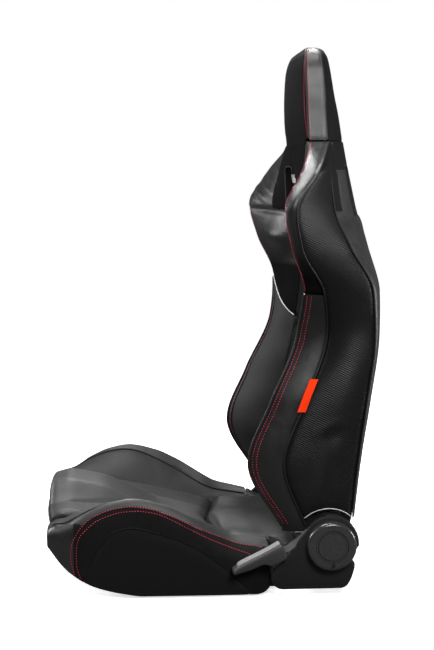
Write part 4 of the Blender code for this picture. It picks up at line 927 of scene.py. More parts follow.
@dataclass
class Backrest:
    """Padded backrest: bolsters, wings, side panels, inserts, back panel and trim."""

    needle: Needle
    split_z: float = 520.0
    split_x: float = 227.0
    split_slope: float = 0.7
    split_range: Pair = (300.0, 540.0)
    top_z: float = 781.2
    bottom_z: float = 112.0
    foot_from: float = 202.0
    foot_ramp: float = 8.0
    foot_drop: float = 6.5
    hem_radius: float = 52.0
    hub_arch: float = 40.0
    arch_near: float = 195.0
    arch_rounds: int = 6
    seam_draw: float = 1.4
    seam_width: float = 4.0
    top_draw: float = 1.2
    top_width: float = 3.5
    border_draw: float = 1.8
    border_width: float = 0.16
    front_margin: float = 12.0
    slot_x: float = 118.0
    slot_z: float = 696.1
    slot_width: float = 36.0
    slot_height: float = 84.0
    sleeve_wall: float = 3.0
    tab_span: Pair = (12.0, 28.0)
    tab_reach: float = 12.0
    tab_thick: float = 1.1
    insert_split_z: float = 436.0
    tail_z: float = 72.0
    hollow_z: float = 656.0
    yoke_z: float = 733.0
    yoke_edge: float = 0.93
    tail_depth: float = 167.0
    pad_tip_z: float = 695.1
    face_points: int = 30
    strip_points: int = 9
    rear_points: int = 5
    torso_rows: int = 52
    wing_rows: int = 110
    lining_low: float = 130.0
    lining_thick: float = 4.0
    edge_welt: float = 2.6
    rear_welt: float = 1.5
    front_welt: float = 1.9
    inner_welt: float = 1.3
    seam_cord: float = 1.1
    hem_cord: float = 0.9
    hem_gap: float = 4.0
    strip_rows: Pair = (6.0, 13.5)
    tag_span: Pair = (316.0, 372.0)
    tag_half: float = 7.0
    tag_stand: float = 2.0
    tag_half_thick: float = 0.7
    panel_flat: Pair = (0.200, 0.690)
    panel_area: float = 0.067
    lining_flat: Pair = (0.500, 0.670)
    lining_area: float = 0.302
    tag_flat: Pair = (0.016, 0.057)
    tab_flat: Pair = (0.018, 0.017)

    def build(self) -> None:
        """Build every piece of the backrest."""
        for label, side in SIDES:
            self.torso(label, side)
            self.wing(label, side)
            self.side_panel(label, side)
            self.sleeve(label, side)
            self.trim(label, side)
            self.stitch(label, side)
        self.inserts()
        self.back_panel()
        self.tag()

    def seam_height(self, x: float) -> float:
        """Return the height of the seam between bolster and wing across the seat."""
        return self.split_z + min(0.0, self.split_slope * (x - self.split_x))

    def column(self, k: int, z: float) -> Vector:
        """Return point k of the pad's outline at a height."""
        cut = Slice(z)
        if k < self.face_points:
            return cut.at(cut.face(k / (self.face_points - 1)))
        k -= self.face_points
        if k < self.strip_points:
            return cut.at(cut.strip((k + 1) / self.strip_points))
        k -= self.strip_points
        if k < self.rear_points:
            share = cut.foam_end() * k / (self.rear_points - 1)
            return cut.at(cut.panel(share, -UNDER_PANEL))
        return cut.at(Vector((cut.inner, BackForm.cavity_depth(z))))

    def column_count(self) -> int:
        """Return the number of points in the pad's outline."""
        return self.face_points + self.strip_points + self.rear_points + 1

    def seam_on(self, k: int) -> float:
        """Return the height at which column k crosses the seam."""
        return solve(lambda z: z - self.seam_height(self.column(k, z).x), *self.split_range)

    def foot(self, k: int) -> float:
        """Return the lowest height of a column, deeper along the bolster's outer edge."""
        outer = (self.column(k, self.bottom_z).x - self.foot_from) / self.foot_ramp
        return self.bottom_z - self.foot_drop * held(outer)

    def arch(self, place: Callable[[float], Vector], radius: float, low: float) -> float:
        """Return where a line up the backrest starts over the arch round the recliner.

        Args:
            place: Gives the line's point at a height.
            radius: Radius of the arch about the recline axis.
            low: Height at which the line starts away from the arch.

        Returns:
            The line's lowest height.
        """
        z = low
        for _ in range(self.arch_rounds):
            point = place(z)
            away = point.y - HINGE_Y
            if point.x < self.arch_near or abs(away) >= radius:
                return low
            z = max(low, HINGE_Z + math.sqrt(radius * radius - away * away))
        return z

    def borders(self, k: int) -> float:
        """Return how far a column is drawn in at the seam with the side panel."""
        strip = k - self.face_points
        if 0 <= strip < self.strip_points:
            return self.border_draw * bell(1.0 - (strip + 1) / self.strip_points, self.border_width)
        return 0.0

    def pad(self, name: str, side: float, rows: int, ends: Sequence[Pair],
            relief: Callable[[int, float], Pair]) -> Item:
        """Return one padded cover of the backrest.

        Args:
            name: Name of the cover.
            side: 1 for the left, -1 for the right.
            rows: Rings from its foot to its top.
            ends: Lowest and highest point of each column.
            relief: Gives a column's draw at the seams and its creases at a height.

        Returns:
            The new cover.
        """
        rings = []
        amounts = []
        for t in steps(0.0, 1.0, rows):
            heights = [low + (top - low) * t for low, top in ends]
            rings.append([self.column(k, z) for k, z in enumerate(heights)])
            lifts = []
            for k, z in enumerate(heights):
                draw, crease = relief(k, z)
                lifts.append(draw - self.borders(k) + self.ripple(k, z) + crease)
            amounts.append(lifts)
        return Workshop.loft(name, rings, 50.0, amounts, side=side)

    def torso(self, label: str, side: float) -> None:
        """Build one lower bolster."""
        ends = []
        for k in range(self.column_count()):
            low = self.arch(lambda z: self.column(k, z), self.hub_arch, self.foot(k))
            ends.append((low, self.seam_on(k) - 0.5 * SEAM))

        def relief(k: int, z: float) -> Pair:
            return -self.seam_draw * bell(ends[k][1] - z, self.seam_width), 0.0

        pad = self.pad(f"torso_cover_{label}", side, self.torso_rows, ends, relief)
        dress(pad, SIDE_LEATHER, Body.BACK, f"torso_bolster_{label}")
        second_finish(pad, DARK_SUEDE, self.on_face)

    def on_front(self, point: Vector) -> bool:
        """Tell whether a point lies well in front of the hollow back."""
        return point.y < BackForm.cavity_depth(point.z) - self.front_margin

    def on_face(self, point: Vector) -> bool:
        """Tell whether a point lies on the front face, inside the bolster's edge."""
        return abs(point.x) < BackForm.ridge_half(point.z) - 1.0 and self.on_front(point)

    def ripple(self, k: int, z: float) -> float:
        """Return the slight unevenness of a stretched cover."""
        if k >= self.face_points + self.strip_points:
            return 0.0
        across = k / self.face_points
        return 0.5 * math.sin(0.055 * z + 5.0 * across) * math.sin(0.021 * z - 3.0 * across)

    def wrinkle(self, k: int, z: float) -> float:
        """Return the creases that gather on a wing's face below the shoulder."""
        if k >= self.face_points:
            return 0.0
        share = k / (self.face_points - 1)
        bulge = 17.0 * bell(z - 605.0, 28.0) * bell(share - 0.40, 0.32)
        fold = -3.4 * bell(z - 649.0 - 6.0 * share, 6.0) * bell(share - 0.62, 0.42)
        gather = bell(z - 706.0, 27.0) * bell(share - 0.80, 0.20)
        crease = 2.2 * gather * math.sin(2.0 * math.pi * (z - 86.0 * share) / 21.0)
        return bulge + fold + crease

    def wing(self, label: str, side: float) -> None:
        """Build one shoulder wing with its harness slot."""
        ends = [(self.seam_on(k) + 0.5 * SEAM, self.top_z) for k in range(self.column_count())]

        def relief(k: int, z: float) -> Pair:
            low = self.seam_draw * bell(z - ends[k][0], self.seam_width)
            return -low - self.top_draw * bell(self.top_z - z, self.top_width), self.wrinkle(k, z)

        pad = self.pad(f"wing_cover_{label}", side, self.wing_rows, ends, relief)
        Workshop.cut(pad, self.slot_tool(side), 50.0)
        dress(pad, WING_LEATHER, Body.BACK, f"shoulder_wing_{label}")
        # Painted shade: near-black suede on the wing's inner half beside the headrest stands in for the shade
        # in that recess.
        second_finish(pad, BLACK_SUEDE_AND_SHADE, self.in_hollow)

    def in_hollow(self, point: Vector) -> bool:
        """Tell whether a point lies on a wing's inner half beside the headrest's tongue, where near-black
        suede paints the shade of that recess.
        """
        cut = Slice(point.z)
        inside = abs(point.x) < 0.5 * (cut.start.x + cut.ridge.x)
        return point.z > self.hollow_z and inside and self.on_front(point)

    def slot_outline(self, grow: float) -> list[Vector]:
        """Return the rounded outline of a harness slot, in front view."""
        width = 0.5 * self.slot_width + grow
        height = 0.5 * self.slot_height + grow
        corner = 0.5 * width + grow
        corners = [(self.slot_x + sx * width, self.slot_z + sz * height, 1.2 * corner)
                   for sx, sz in ((1, -1), (1, 1), (-1, 1), (-1, -1))]
        return rounded(corners, 7)

    @staticmethod
    def slot_front(x: float, z: float) -> float:
        """Return the depth of the wing's face at a point of the slot."""
        cut = Slice(z)
        return cut.face(solve(lambda t: cut.face(t).x - x, 0.0, 1.0)).y

    @staticmethod
    def slot_rear(x: float, z: float) -> float:
        """Return the depth of the back panel at a point of the slot."""
        half = BackForm.piping_half(z)
        return BackForm.back_arc(half, BackForm.piping_depth(z), BackForm.spine_depth(z), z, x / half).y

    def slot_ring(self, grow: float, share: float, proud: float) -> Ring:
        """Return the slot's outline between the face and the back panel."""
        points = []
        for p in self.slot_outline(grow):
            front = self.slot_front(p.x, p.y) - proud
            rear = self.slot_rear(p.x, p.y) + proud
            points.append(Vector((p.x, front + (rear - front) * share, p.y)))
        return points

    def slot_tool(self, side: float) -> Item:
        """Return the solid that cuts a harness slot."""
        rings = [self.slot_ring(self.sleeve_wall + 0.3, share, 40.0) for share in (0.0, 1.0)]
        return Workshop.loft("slot_tool", rings, side=side)

    def sleeve(self, label: str, side: float) -> None:
        """Build the sleeve that lines a harness slot."""
        wall = self.sleeve_wall
        rows = [(0.0, 0.0, 0.6), (0.8, 0.0, 1.2), (wall, 0.0, 1.2), (wall, 0.0, 0.2), (wall, 1.0, 0.2),
                (wall, 1.0, 1.2), (0.8, 1.0, 1.2), (0.0, 1.0, 0.6)]
        rings = [self.slot_ring(grow, share, proud) for grow, share, proud in rows]
        item = Workshop.loft(f"slot_lining_{label}", rings, 35.0, looped=True, side=side)
        dress(item, COVER, Body.BACK, f"harness_sleeve_{label}")
        # Painted highlight: the pale tab stands in for the bright spot of light seen at the slot.
        tab = dress(self.slot_tab(label, side), PALE, Body.BACK)

    def slot_tab(self, label: str, side: float) -> Item:
        """Return the small pale tab folded over a slot's inner edge, whose pale colour paints the bright spot
        of light seen at the slot.
        """
        rings = []
        inner = self.slot_x - 0.5 * self.slot_width
        low, high = self.tab_span
        for z in steps(self.slot_z + low, self.slot_z + high, 9):
            curl = 1.5 * math.sin(0.2 * (z - self.slot_z))
            near = [Vector((x, self.slot_front(x, z) - 1.4 - curl * (inner - x) / self.tab_reach, z))
                    for x in steps(inner - self.tab_reach, inner + 1.5, 7)]
            rings.append(near + [p + Vector((0.0, self.tab_thick, 0.0)) for p in reversed(near)])
        return Workshop.loft(f"slot_tab_{label}", rings, 45.0, side=side)

    def side_panel(self, label: str, side: float) -> None:
        """Build one ribbed side panel with its drawn-in borders and hem arch."""
        shares = steps(0.012, 0.988, 26)
        lows = [self.arch(lambda z: Slice(z).panel(share), self.hem_radius, self.bottom_z)
                for share in shares]
        rings = []
        for t in steps(0.0, 1.0, 76):
            outer = []
            inner = []
            for share, start in zip(shares, lows):
                z = start + (self.top_z - start) * t
                cut = Slice(z)
                width = (cut.piping - cut.seam).length
                edge = min(share, 1.0 - share) * width
                tuck = 1.9 * bell(edge, 4.5) + 1.2 * bell(z - start, 5.0)
                tuck += 1.4 * bell(self.top_z - z, 5.0)
                wave = self.panel_wave(cut.panel(share).y, z)
                outer.append(cut.at(cut.panel(share, wave - min(tuck, 2.2))))
                inner.append(cut.at(cut.panel(share, -SKIN)))
            rings.append(outer + inner[::-1])
        item = Workshop.loft(f"panel_cover_{label}", rings, 60.0, side=side)
        dress(item, RIBBED, Body.BACK, f"side_panel_{label}")

    @staticmethod
    def panel_wave(y: float, z: float) -> float:
        """Return the dents and slack in a side panel."""
        slack = 0.5 * math.sin(0.03 * z + 0.02 * y) * math.sin(0.05 * z - 0.04 * y)
        dent = -3.2 * bell(math.hypot(y - 182.0, z - 276.0), 15.0)
        lip = 2.2 * bell(z - 290.0 - 0.35 * (y - 176.0), 7.0) * bell(y - 176.0, 22.0)
        fold = 1.8 * bell(y - 160.0 - 0.10 * (z - 190.0), 12.0) * bell(z - 190.0, 38.0)
        return slack + dent + lip + fold

    def insert_rings(self, low: float, high: float) -> list[Ring]:
        """Return the outline rows of a centre pad between two heights."""
        rings = []
        stops = [low, low + 3.0, low + 8.0] + steps(low + 16.0, high - 16.0, 26)
        stops += [high - 8.0, high - 3.0, high]
        for z in stops:
            half = BackForm.inner_half(z) - 0.5 * SEAM
            end = min(1.0, min(z - low, high - z) / 14.0)
            front = BackForm.front_depth(z) + 7.0 * (1.0 - end) ** 2
            rear = BackForm.cavity_depth(z)
            if z < self.bottom_z:
                rear = self.tail_depth
            ring = []
            for part in steps(-1.0, 1.0, 29):
                sewn = CHANNEL * abs(part) ** 10
                ring.append(Vector((half * part, front + 5.0 * (1.0 - part * part) + sewn, z)))
            rings.append(ring + [Vector((half, rear, z)), Vector((-half, rear, z))])
        return rings

    def inserts(self) -> None:
        """Build the lumbar pad and the pad above it."""
        gap = 0.5 * SEAM
        rows = (("lumbar", self.tail_z, self.insert_split_z - gap),
                ("upper", self.insert_split_z + gap, self.pad_tip_z - gap))
        for label, low, high in rows:
            pad = Workshop.loft(f"{label}_cover", self.insert_rings(low, high))
            Workshop.inflate(pad, 2.0, 3.0)
            # Painted shade: the inserts take the near-black suede, which stands in for the shade deep between
            # the bolsters.
            dress(pad, BLACK_SUEDE_AND_SHADE, Body.BACK, f"{label}_insert")

    def back_panel(self) -> None:
        """Build the lined back panel with its sewn lines and slots."""
        rings = []
        amounts = []
        shares = [math.cos(turn) for turn in steps(0.0, math.pi, 73)]
        thick = self.lining_thick
        for z in steps(self.lining_low, self.top_z, 92):
            edge = BackForm.piping_depth(z) + SEAM
            spine = BackForm.spine_depth(z)
            half = BackForm.piping_half(z)
            outer = [BackForm.back_arc(half, edge, spine, z, share) for share in shares]
            inner = [BackForm.back_arc(half - thick, edge, spine - thick, z, share) for share in shares]
            rings.append(outer + inner[::-1])
            row = []
            for share in shares:
                below = 640.0 + 16.0 * (1.0 - share * share) - z
                inward = min(1.0, (1.0 - abs(share)) * half / 24.0)
                swell = 2.4 * bell(below - 16.0, 14.0) - 2.2 * bell(below, 3.2)
                row.append((swell - 1.6 * bell(z - self.yoke_z, 3.0)) * inward)
            amounts.append(row + [0.0] * len(shares))
        item = Workshop.loft("back_lining_panel", rings, 60.0, amounts)
        for _, side in SIDES:
            Workshop.cut(item, self.slot_tool(side), 50.0)
        dress(item, LINING, Body.BACK, "back_panel")
        # Black leatherette on the upper yoke, and painted shade on the side edges, where black stands in for
        # the shade of the deep gap beside the wings.
        second_finish(item, BLACK_LEATHER, self.on_yoke)

    def on_yoke(self, point: Vector) -> bool:
        """Tell whether a point lies on the back panel's upper yoke, or on its side edges beside the wings,
        where black paints the shade of the deep gap there.
        """
        beside = abs(point.x) > self.yoke_edge * BackForm.piping_half(point.z)
        return point.z > self.yoke_z or (point.z > self.hollow_z and beside)

    def trim(self, label: str, side: float) -> None:
        """Build the welts along the bolster's and the panel's edges and the pale cord in the wing seam, whose
        light colour also paints the highlight along the seam's edge.
        """
        top = self.top_z - 3.0
        edge = rail(lambda cut: cut.strip(0.0, 0.4), self.bottom_z + 2.0, self.split_z - 3.0, 90)
        rear = rail(lambda cut: cut.panel(1.0, -0.4), 148.0, top, 120)
        front = rail(lambda cut: cut.panel(0.0, 0.1), 118.0, top, 130)
        rows = ((edge, self.edge_welt), (rear, self.rear_welt), (front, self.front_welt),
                (self.face_row(11.0, 0.3), self.inner_welt))
        welts = [Workshop.tube("welt", mirror(route, side), radius) for route, radius in rows]
        dress(Workshop.joined(f"welt_{label}", welts), WELT, Body.BACK)
        seam = []
        for share in steps(0.03, 1.0, 60):
            z = solve(lambda level: level - self.seam_height(Slice(level).face(share).x), *self.split_range)
            cut = Slice(z)
            seam.append(cut.at(cut.face(share, 0.2)))
        # Painted highlight: the cord's pale colour stands in for the highlight along the seam's edge.
        dress(Workshop.tube(f"seam_cord_{label}", mirror(seam, side), self.seam_cord), PALE_HIGHLIGHT_CORD, Body.BACK)

    def face_row(self, away: float, lift: float) -> Ring:
        """Return a route on the bolster's face at a distance inside its edge."""
        return rail(lambda cut: cut.face(1.0 - away / (cut.ridge - cut.start).length, lift),
                    self.bottom_z + 4.0, self.split_z - 14.0, 100)

    def stitch(self, label: str, side: float) -> None:
        """Sew the red rows on the strips and lay the pale hem cord, whose light colour also paints the
        highlight along the hem's upper edge.
        """
        self.needle.row(RED_THREAD, Body.BACK, mirror(self.face_row(6.5, -0.1), side))
        for away in self.strip_rows:
            row = rail(lambda cut: cut.strip(away / (cut.seam - cut.ridge).length, 0.5),
                       self.bottom_z + 8.0, self.split_z - 6.0, 110)
            self.needle.row(RED_THREAD, Body.BACK, mirror(row, side))
        crest = rail(lambda cut: cut.strip(0.04, 0.9), self.split_z + 6.0, self.top_z - 4.0, 90)
        self.needle.row(RED_THREAD, Body.BACK, mirror(crest, side))
        hem = []
        reach = self.hem_radius + self.hem_gap
        for turn in steps(28.0, 152.0, 50):
            y = HINGE_Y + reach * math.cos(math.radians(turn))
            cut = Slice(HINGE_Z + reach * math.sin(math.radians(turn)))
            if cut.seam.y + 2.0 < y < cut.piping.y - 2.0:
                hem.append(cut.at(cut.panel(solve(lambda t: cut.panel(t).y - y, 0.0, 1.0), 0.3)))
        # Painted highlight: the cord's pale colour stands in for the highlight along the hem's upper edge.
        dress(Workshop.tube(f"hem_cord_{label}", mirror(hem, side), self.hem_cord), PALE_HIGHLIGHT_CORD, Body.BACK)

    def tag(self) -> None:
        """Build the plain cloth tag folded over the left seam."""
        rings = []
        half = self.tag_half
        thick = self.tag_half_thick
        for z in steps(*self.tag_span, 15):
            cut = Slice(z)
            run = (cut.panel(0.06) - cut.ridge).normalized()
            out = outward(run)
            middle = cut.seam + out * self.tag_stand
            curl = 0.5 * math.sin(0.11 * z)
            outer = [middle + run * (half * s) + out * (thick + curl * s * s) for s in steps(-1.0, 1.0, 9)]
            inner = [middle + run * (half * s) + out * (curl * s * s - thick) for s in steps(1.0, -1.0, 9)]
            rings.append([cut.at(p) for p in outer + inner])
        item = dress(Workshop.loft("seam_tag", rings, 45.0), TAG, Body.BACK, "side_tag")


# Headrest


HEAD_LEVELS = (782.0, 830.0, 865.0, 908.0, 931.0, 943.0, 949.5)
NECK_Z = HEAD_LEVELS[0]
CROWN_Z = 925.0


def head_levels(*values: float) -> Curve:
    """Return the curve that takes these values at the headrest's levels."""
    return Curve(list(zip(HEAD_LEVELS, values)))


@dataclass
class Headrest:
    """Headrest cover with side strips, and the suede pad in its front."""

    needle: Needle
    wall: float = 4.0
    taper: float = 3.0
    lean: float = 0.19
    tip_z: float = 695.5
    border: float = 5.5
    half = head_levels(149, 143, 140, 132, 120, 102, 74)
    front = head_levels(151, 149, 148, 147, 148, 151.5, 158)
    seam = head_levels(184, 182, 180, 178, 177, 177, 177)
    rear = head_levels(230, 222, 214, 206, 201, 194, 184)
    pad_front = head_levels(141, 136, 135, 136, 139, 146, 155)

    def build(self) -> None:
        """Build the cover, the pad, their welts and their stitches."""
        self.cover()
        self.pad()
        self.trim()

    def ring(self, z: float, inset: float, reach: float) -> Ring:
        """Return the cover's outline at a height, moved inwards by inset."""
        half = self.half(z) - inset
        front = self.front(z) - reach
        taper = 0.0 if inset else self.taper
        edge = self.seam(z) - 0.5 * inset
        arc = [BackForm.back_arc(half, edge, self.rear(z) - inset, z, math.cos(turn))
               for turn in steps(0.0, math.pi, 61)]
        left = [Vector((half - taper * (1.0 - t), front + (edge - front) * t, z))
                for t in steps(0.0, 0.92, 10)]
        right = [Vector((-p.x, p.y, z)) for p in reversed(left)]
        return left + arc + right

    def cover(self) -> None:
        """Build the hollow cover with the sewn line behind its side strips."""
        stops = steps(NECK_Z, CROWN_Z, 40) + steps(927.0, 943.0, 9) + steps(944.0, HEAD_LEVELS[-1], 8)
        rings = [self.ring(z, 0.0, 0.0) for z in stops]
        amounts = []
        for z, ring in zip(stops, rings):
            edge = self.seam(z)
            amounts.append([-1.6 * bell(p.y - edge, 3.0) * (abs(p.x) > 0.85 * self.half(z))
                            - 1.2 * bell(z - NECK_Z, 3.5) for p in ring])
        shell = Workshop.loft("headrest_shell", rings, 50.0, amounts)
        inside = [NECK_Z - 30.0, NECK_Z] + steps(800.0, 930.0, 24) + steps(934.0, 945.5, 8)
        tool = Workshop.loft("hollow", [self.ring(z, self.wall, 40.0) for z in inside])
        dress(Workshop.cut(shell, tool, 50.0), HEAD_LEATHER, Body.BACK, "headrest_cover")
        second_finish(shell, BLACK_LEATHER, lambda p: p.y > self.seam(p.z) + 0.5)

    def foam_depth(self, z: float) -> float:
        """Return the back face of the pad."""
        climb = min(z, 908.0) - NECK_Z
        return BackForm.cavity_depth(min(z, NECK_Z)) - max(0.0, climb) * self.lean

    def pad_half(self, z: float) -> float:
        """Return the pad's half width at a height."""
        if z <= NECK_Z:
            return BackForm.inner_half(z) - 0.5 * SEAM
        grown = min(1.0, (z - NECK_Z) / 24.0)
        return (1.0 - grown) * BackForm.inner_half(NECK_Z) + grown * (self.half(z) - self.wall) - SEAM

    def pad_face(self, z: float, part: float) -> Vector:
        """Return a point on the pad's front at a share of its half width."""
        blend = held((z - 770.0) / 24.0)
        low = BackForm.front_depth(min(z, NECK_Z)) + 3.0 * part * part
        high = self.pad_front(max(z, NECK_Z)) + 6.0 * part * part
        half = self.pad_half(z)
        drop = max(0.0, self.border - (1.0 - abs(part)) * half)
        turned = self.border - math.sqrt(self.border ** 2 - drop ** 2)
        return Vector((half * part, low + (high - low) * blend + turned, z))

    def pad(self) -> None:
        """Build the suede pad with its tongue between the wings."""
        rings = []
        stops = [self.tip_z] + steps(self.tip_z + 3.0, CROWN_Z, 62) + steps(928.0, 944.8, 12)
        for z in stops:
            half = self.pad_half(z)
            rolls = [1.0 - reach / half for reach in (0.0, 0.25, 0.8, 1.7, 2.9, 4.2, 5.5)]
            parts = [-part for part in rolls] + steps(-0.93, 0.93, 31) + rolls[::-1]
            front = [self.pad_face(z, part) for part in parts]
            rear = self.foam_depth(z)
            corner = min(rear - 2.0, self.seam(z) - self.wall)
            back = [Vector((x, y, z)) for x, y in ((half, corner), (0.86 * half, rear),
                                                   (-0.86 * half, rear), (-half, corner))]
            rings.append(front + back)
        item = Workshop.loft("headrest_front", rings, 50.0)
        dress(item, BLACK_SUEDE_AND_SHADE, Body.BACK, "headrest_pad")

    def trim(self) -> None:
        """Build the welt round the pad and sew the rows beside it."""
        welt = self.arch(lambda z: Vector((self.half(z) - self.wall + 0.4, self.front(z) - 0.4, z)), 946.5)
        dress(Workshop.tube("headrest_welt", welt, 1.9), WELT, Body.BACK)
        self.needle.row(RED_THREAD, Body.BACK, self.arch(lambda z: self.strip_point(z, 3.2), 949.0))
        self.needle.row(RED_THREAD, Body.BACK, self.arch(self.pad_row, 944.2))
        for _, side in SIDES:
            rear = [self.strip_point(z, self.seam(z) - self.front(z) - 3.5) for z in steps(790.0, 938.0, 50)]
            self.needle.row(GREY_THREAD, Body.BACK, mirror(rear, side))

    def strip_point(self, z: float, behind: float) -> Vector:
        """Return a point on the side strip at a distance behind its front edge."""
        slope = self.half(z + 0.5) - self.half(z - 0.5)
        lift = Vector((1.0, 0.0, -slope)).normalized() * 0.5
        depth = self.seam(z) - self.front(z)
        taper = self.taper * max(0.0, 1.0 - behind / depth)
        return Vector((self.half(z) - taper, self.front(z) + behind, z)) + lift

    def pad_row(self, z: float) -> Vector:
        """Return a point of the row sewn inside the pad's border."""
        return self.pad_face(z, 1.0 - 1.0 / self.pad_half(z)) + Vector((0.6, -0.4, 0.0))

    def arch(self, place: Callable[[float], Vector], top: float) -> Ring:
        """Return a route up the left edge, over at the top's height and down the right edge."""
        left = [place(z) for z in steps(NECK_Z + 5.0, CROWN_Z, 50) + steps(927.0, top, 14)]
        end = left[-1]
        across = [Vector((end.x * share, end.y, end.z)) for share in steps(0.9, -0.9, 25)]
        return left + across + mirror(left[::-1], -1.0)


# Cushion


@dataclass
class Cushion:
    """Seat cushion: centre, hip pad, bolsters, apron and ribbed side panels."""

    needle: Needle
    front_y: float = -318.0
    bow: float = 10.0
    centre_half: float = 170.0
    half: float = 258.0
    end_y: float = 72.0
    pommel_half: float = 96.0
    pommel_top: float = 44.0
    apron_top: float = 112.0
    foam_z: float = 33.6
    member_top: float = 40.3
    lip_half: float = 204.3
    hip_tip_y: float = -22.0
    hip_corner_y: float = 5.0
    hip_rear_y: float = 132.0
    hip_top: float = 80.0
    hip_ear: float = 200.0
    hip_tongue: float = 15.0
    hip_roll: float = 16.0
    edge_roll: float = 14.0
    groove_near: float = 62.0
    groove_start: float = -118.0
    groove_run: float = 165.0
    groove_end: float = -122.0
    groove_depth: float = 3.8
    groove_width: float = 3.6
    tuck = Curve([(-318, 0), (-272, 0), (-232, 8), (72, 8)])
    skirt_front: float = -246.0
    skirt_rear: float = 36.0
    skirt_flat: Pair = (0.118, 0.284)
    skirt_area: float = 0.0232
    apron_flat: Pair = (0.154, 0.340)
    apron = ((0.0, 112.0), (4.0, 90.0), (14.0, 66.0), (34.0, 44.0), (64.0, 25.0), (98.0, 11.0))
    ridge_top = Curve([(-308, 116), (-296, 123), (-283, 125), (-272, 129), (-258, 138), (-240, 149),
                       (-201, 165), (-165, 171), (-109, 159), (-70, 141), (-38, 124), (-13, 110),
                       (12, 97), (72, 84)])
    welt_share = Curve([(-300, 0.86), (-200, 0.84), (-150, 0.78), (-100, 0.66), (0, 0.44), (72, 0.32)])
    ridge_inset = Curve([(-308, 18), (-70, 18), (-38, 32), (-13, 46), (40, 54), (72, 72)])
    side_bottom = Curve([(-308, 86), (-298, 74), (-286, 60), (-266, 42), (-223, 20), (-180, 9),
                         (-145, 4), (48, 3), (62, 6), (72, 15)])
    side_half = Curve([(-308, 234), (-285, 248), (-262, 254), (-250, 258), (72, 258)])
    centre_top = Curve([(-318, 127), (-300, 134), (-280, 134), (-248, 129), (-144, 110),
                        (-68, 92), (0, 76), (72, 74)])
    pommel = Curve([(-318, 12), (-308, 23), (-297, 29), (-280, 31), (-225, 30),
                    (-164, 16), (-134, 5), (-112, 0)])
    skirt_top = Curve([(-246, 36), (-224, 84), (-194, 115), (-165, 121), (-128, 113),
                       (-64, 89), (-7, 50), (36, 11)])

    red_rows = (((-263, 44), (-269, 70), (-268, 91), (-260, 111), (-247, 130), (-228, 144), (-190, 157),
                 (-167, 159), (-139, 156), (-91, 139), (-55, 121), (-18, 104), (17, 89), (40, 84), (60, 80)),
                ((-252, 35), (-259, 61), (-259, 85), (-255, 106), (-240, 124), (-219, 139), (-178, 151),
                 (-155, 152), (-124, 147), (-64, 118), (-30, 100), (12, 82), (37, 73)))
    red_top = Curve(red_rows[0][4:])
    red_front: float = -262.0

    def build(self) -> None:
        """Build every piece of the cushion."""
        self.centre()
        self.hip_pad()
        self.apron_skin()
        for label, side in SIDES:
            self.bolster(label, side)
            self.skirt(label, side)
            self.trim(label, side)
            self.stitch(side)

    def front_edge(self, x: float) -> float:
        """Return the cushion's front at a place across it."""
        return self.front_y + self.bow * (x / self.centre_half) ** 2

    def hip_edge(self, x: float) -> float:
        """Return the pointed front edge of the hip pad."""
        return self.hip_tip_y + (self.hip_corner_y - self.hip_tip_y) * abs(x) / self.centre_half

    def centre_height(self, x: float, y: float) -> float:
        """Return the height of the cushion's middle without its sewn lines."""
        part = held((abs(x) - self.pommel_top) / (self.pommel_half - self.pommel_top))
        edge = CHANNEL * max(0.0, abs(x) - self.centre_half + self.edge_roll) / self.edge_roll
        return self.centre_top(y) + self.pommel(y) * math.cos(0.5 * math.pi * part) ** 2 - edge

    def apron_side(self, x: float, inset: float) -> list[Vector]:
        """Return the apron's profile at x, moved inwards by inset."""
        depth = Curve([(-z, dy) for dy, z in self.apron])
        rows = [Vector((self.front_edge(x) + depth(-z), z)) for z in steps(self.apron_top, 11.0, 22)]
        moved = []
        for i, point in enumerate(rows):
            run = (rows[min(i + 1, len(rows) - 1)] - rows[max(i - 1, 0)]).normalized()
            moved.append(point + Vector((-run.y, run.x)) * inset)
        return moved

    def centre_ring(self, x: float) -> Ring:
        """Return the middle's outline across the seat at x."""
        front = self.front_edge(x)
        rear = self.hip_edge(x) - SEAM
        rows = [Vector((y, self.centre_height(x, y))) for y in steps(rear, front + 20.0, 42)]
        rows[0].y -= 9.0
        rows[1].y -= 2.5
        roll = rows[-1].y
        low = self.apron_top + 2.0 * SEAM
        lip = Vector((front + 1.0, low + 0.42 * (roll - low)))
        pull = Vector((front + 2.5, roll - 0.5))
        rows += [quadratic(rows[-1], pull, lip, t) for t in steps(0.0, 1.0, 8)[1:]]
        rows.append(Vector((front + 1.5, low)))
        rows += [p for p in self.apron_side(x, SKIN + 0.3) if p.y > self.foam_z + 6.0]
        rows.append(Vector((rows[-1].x + 28.0, self.foam_z)))
        rows.append(Vector((rear, self.foam_z)))
        return [Vector((x, p.x, p.y)) for p in rows]

    def sewn_lines(self, point: Vector) -> float:
        """Return the depth of the sewn lines beside the pommel."""
        if point.z < self.centre_top(point.y) - 14.0 or point.y > self.groove_end:
            return 0.0
        fade = min(1.0, self.pommel(point.y) / 5.0)
        return fade * self.groove_depth * bell(abs(point.x) - self.groove_x(point.y), self.groove_width)

    def groove_x(self, y: float) -> float:
        """Return how far out the sewn line beside the pommel runs."""
        ahead = held((self.groove_start - y) / self.groove_run)
        return self.groove_near + (self.pommel_half - self.groove_near) * ahead

    def centre(self) -> None:
        """Build the middle of the cushion with its pommel."""
        item = Workshop.loft("cushion_middle", [self.centre_ring(x) for x in
                                                steps(-self.centre_half, self.centre_half, 47)])
        Workshop.inflate(item, 0.8, 1.2)
        Workshop.press(item, self.sewn_lines)
        dress(item, SUEDE, Body.BASE, "cushion_centre")
        second_finish(item, SIDE_SUEDE, lambda p: abs(p.x) > self.groove_x(p.y))

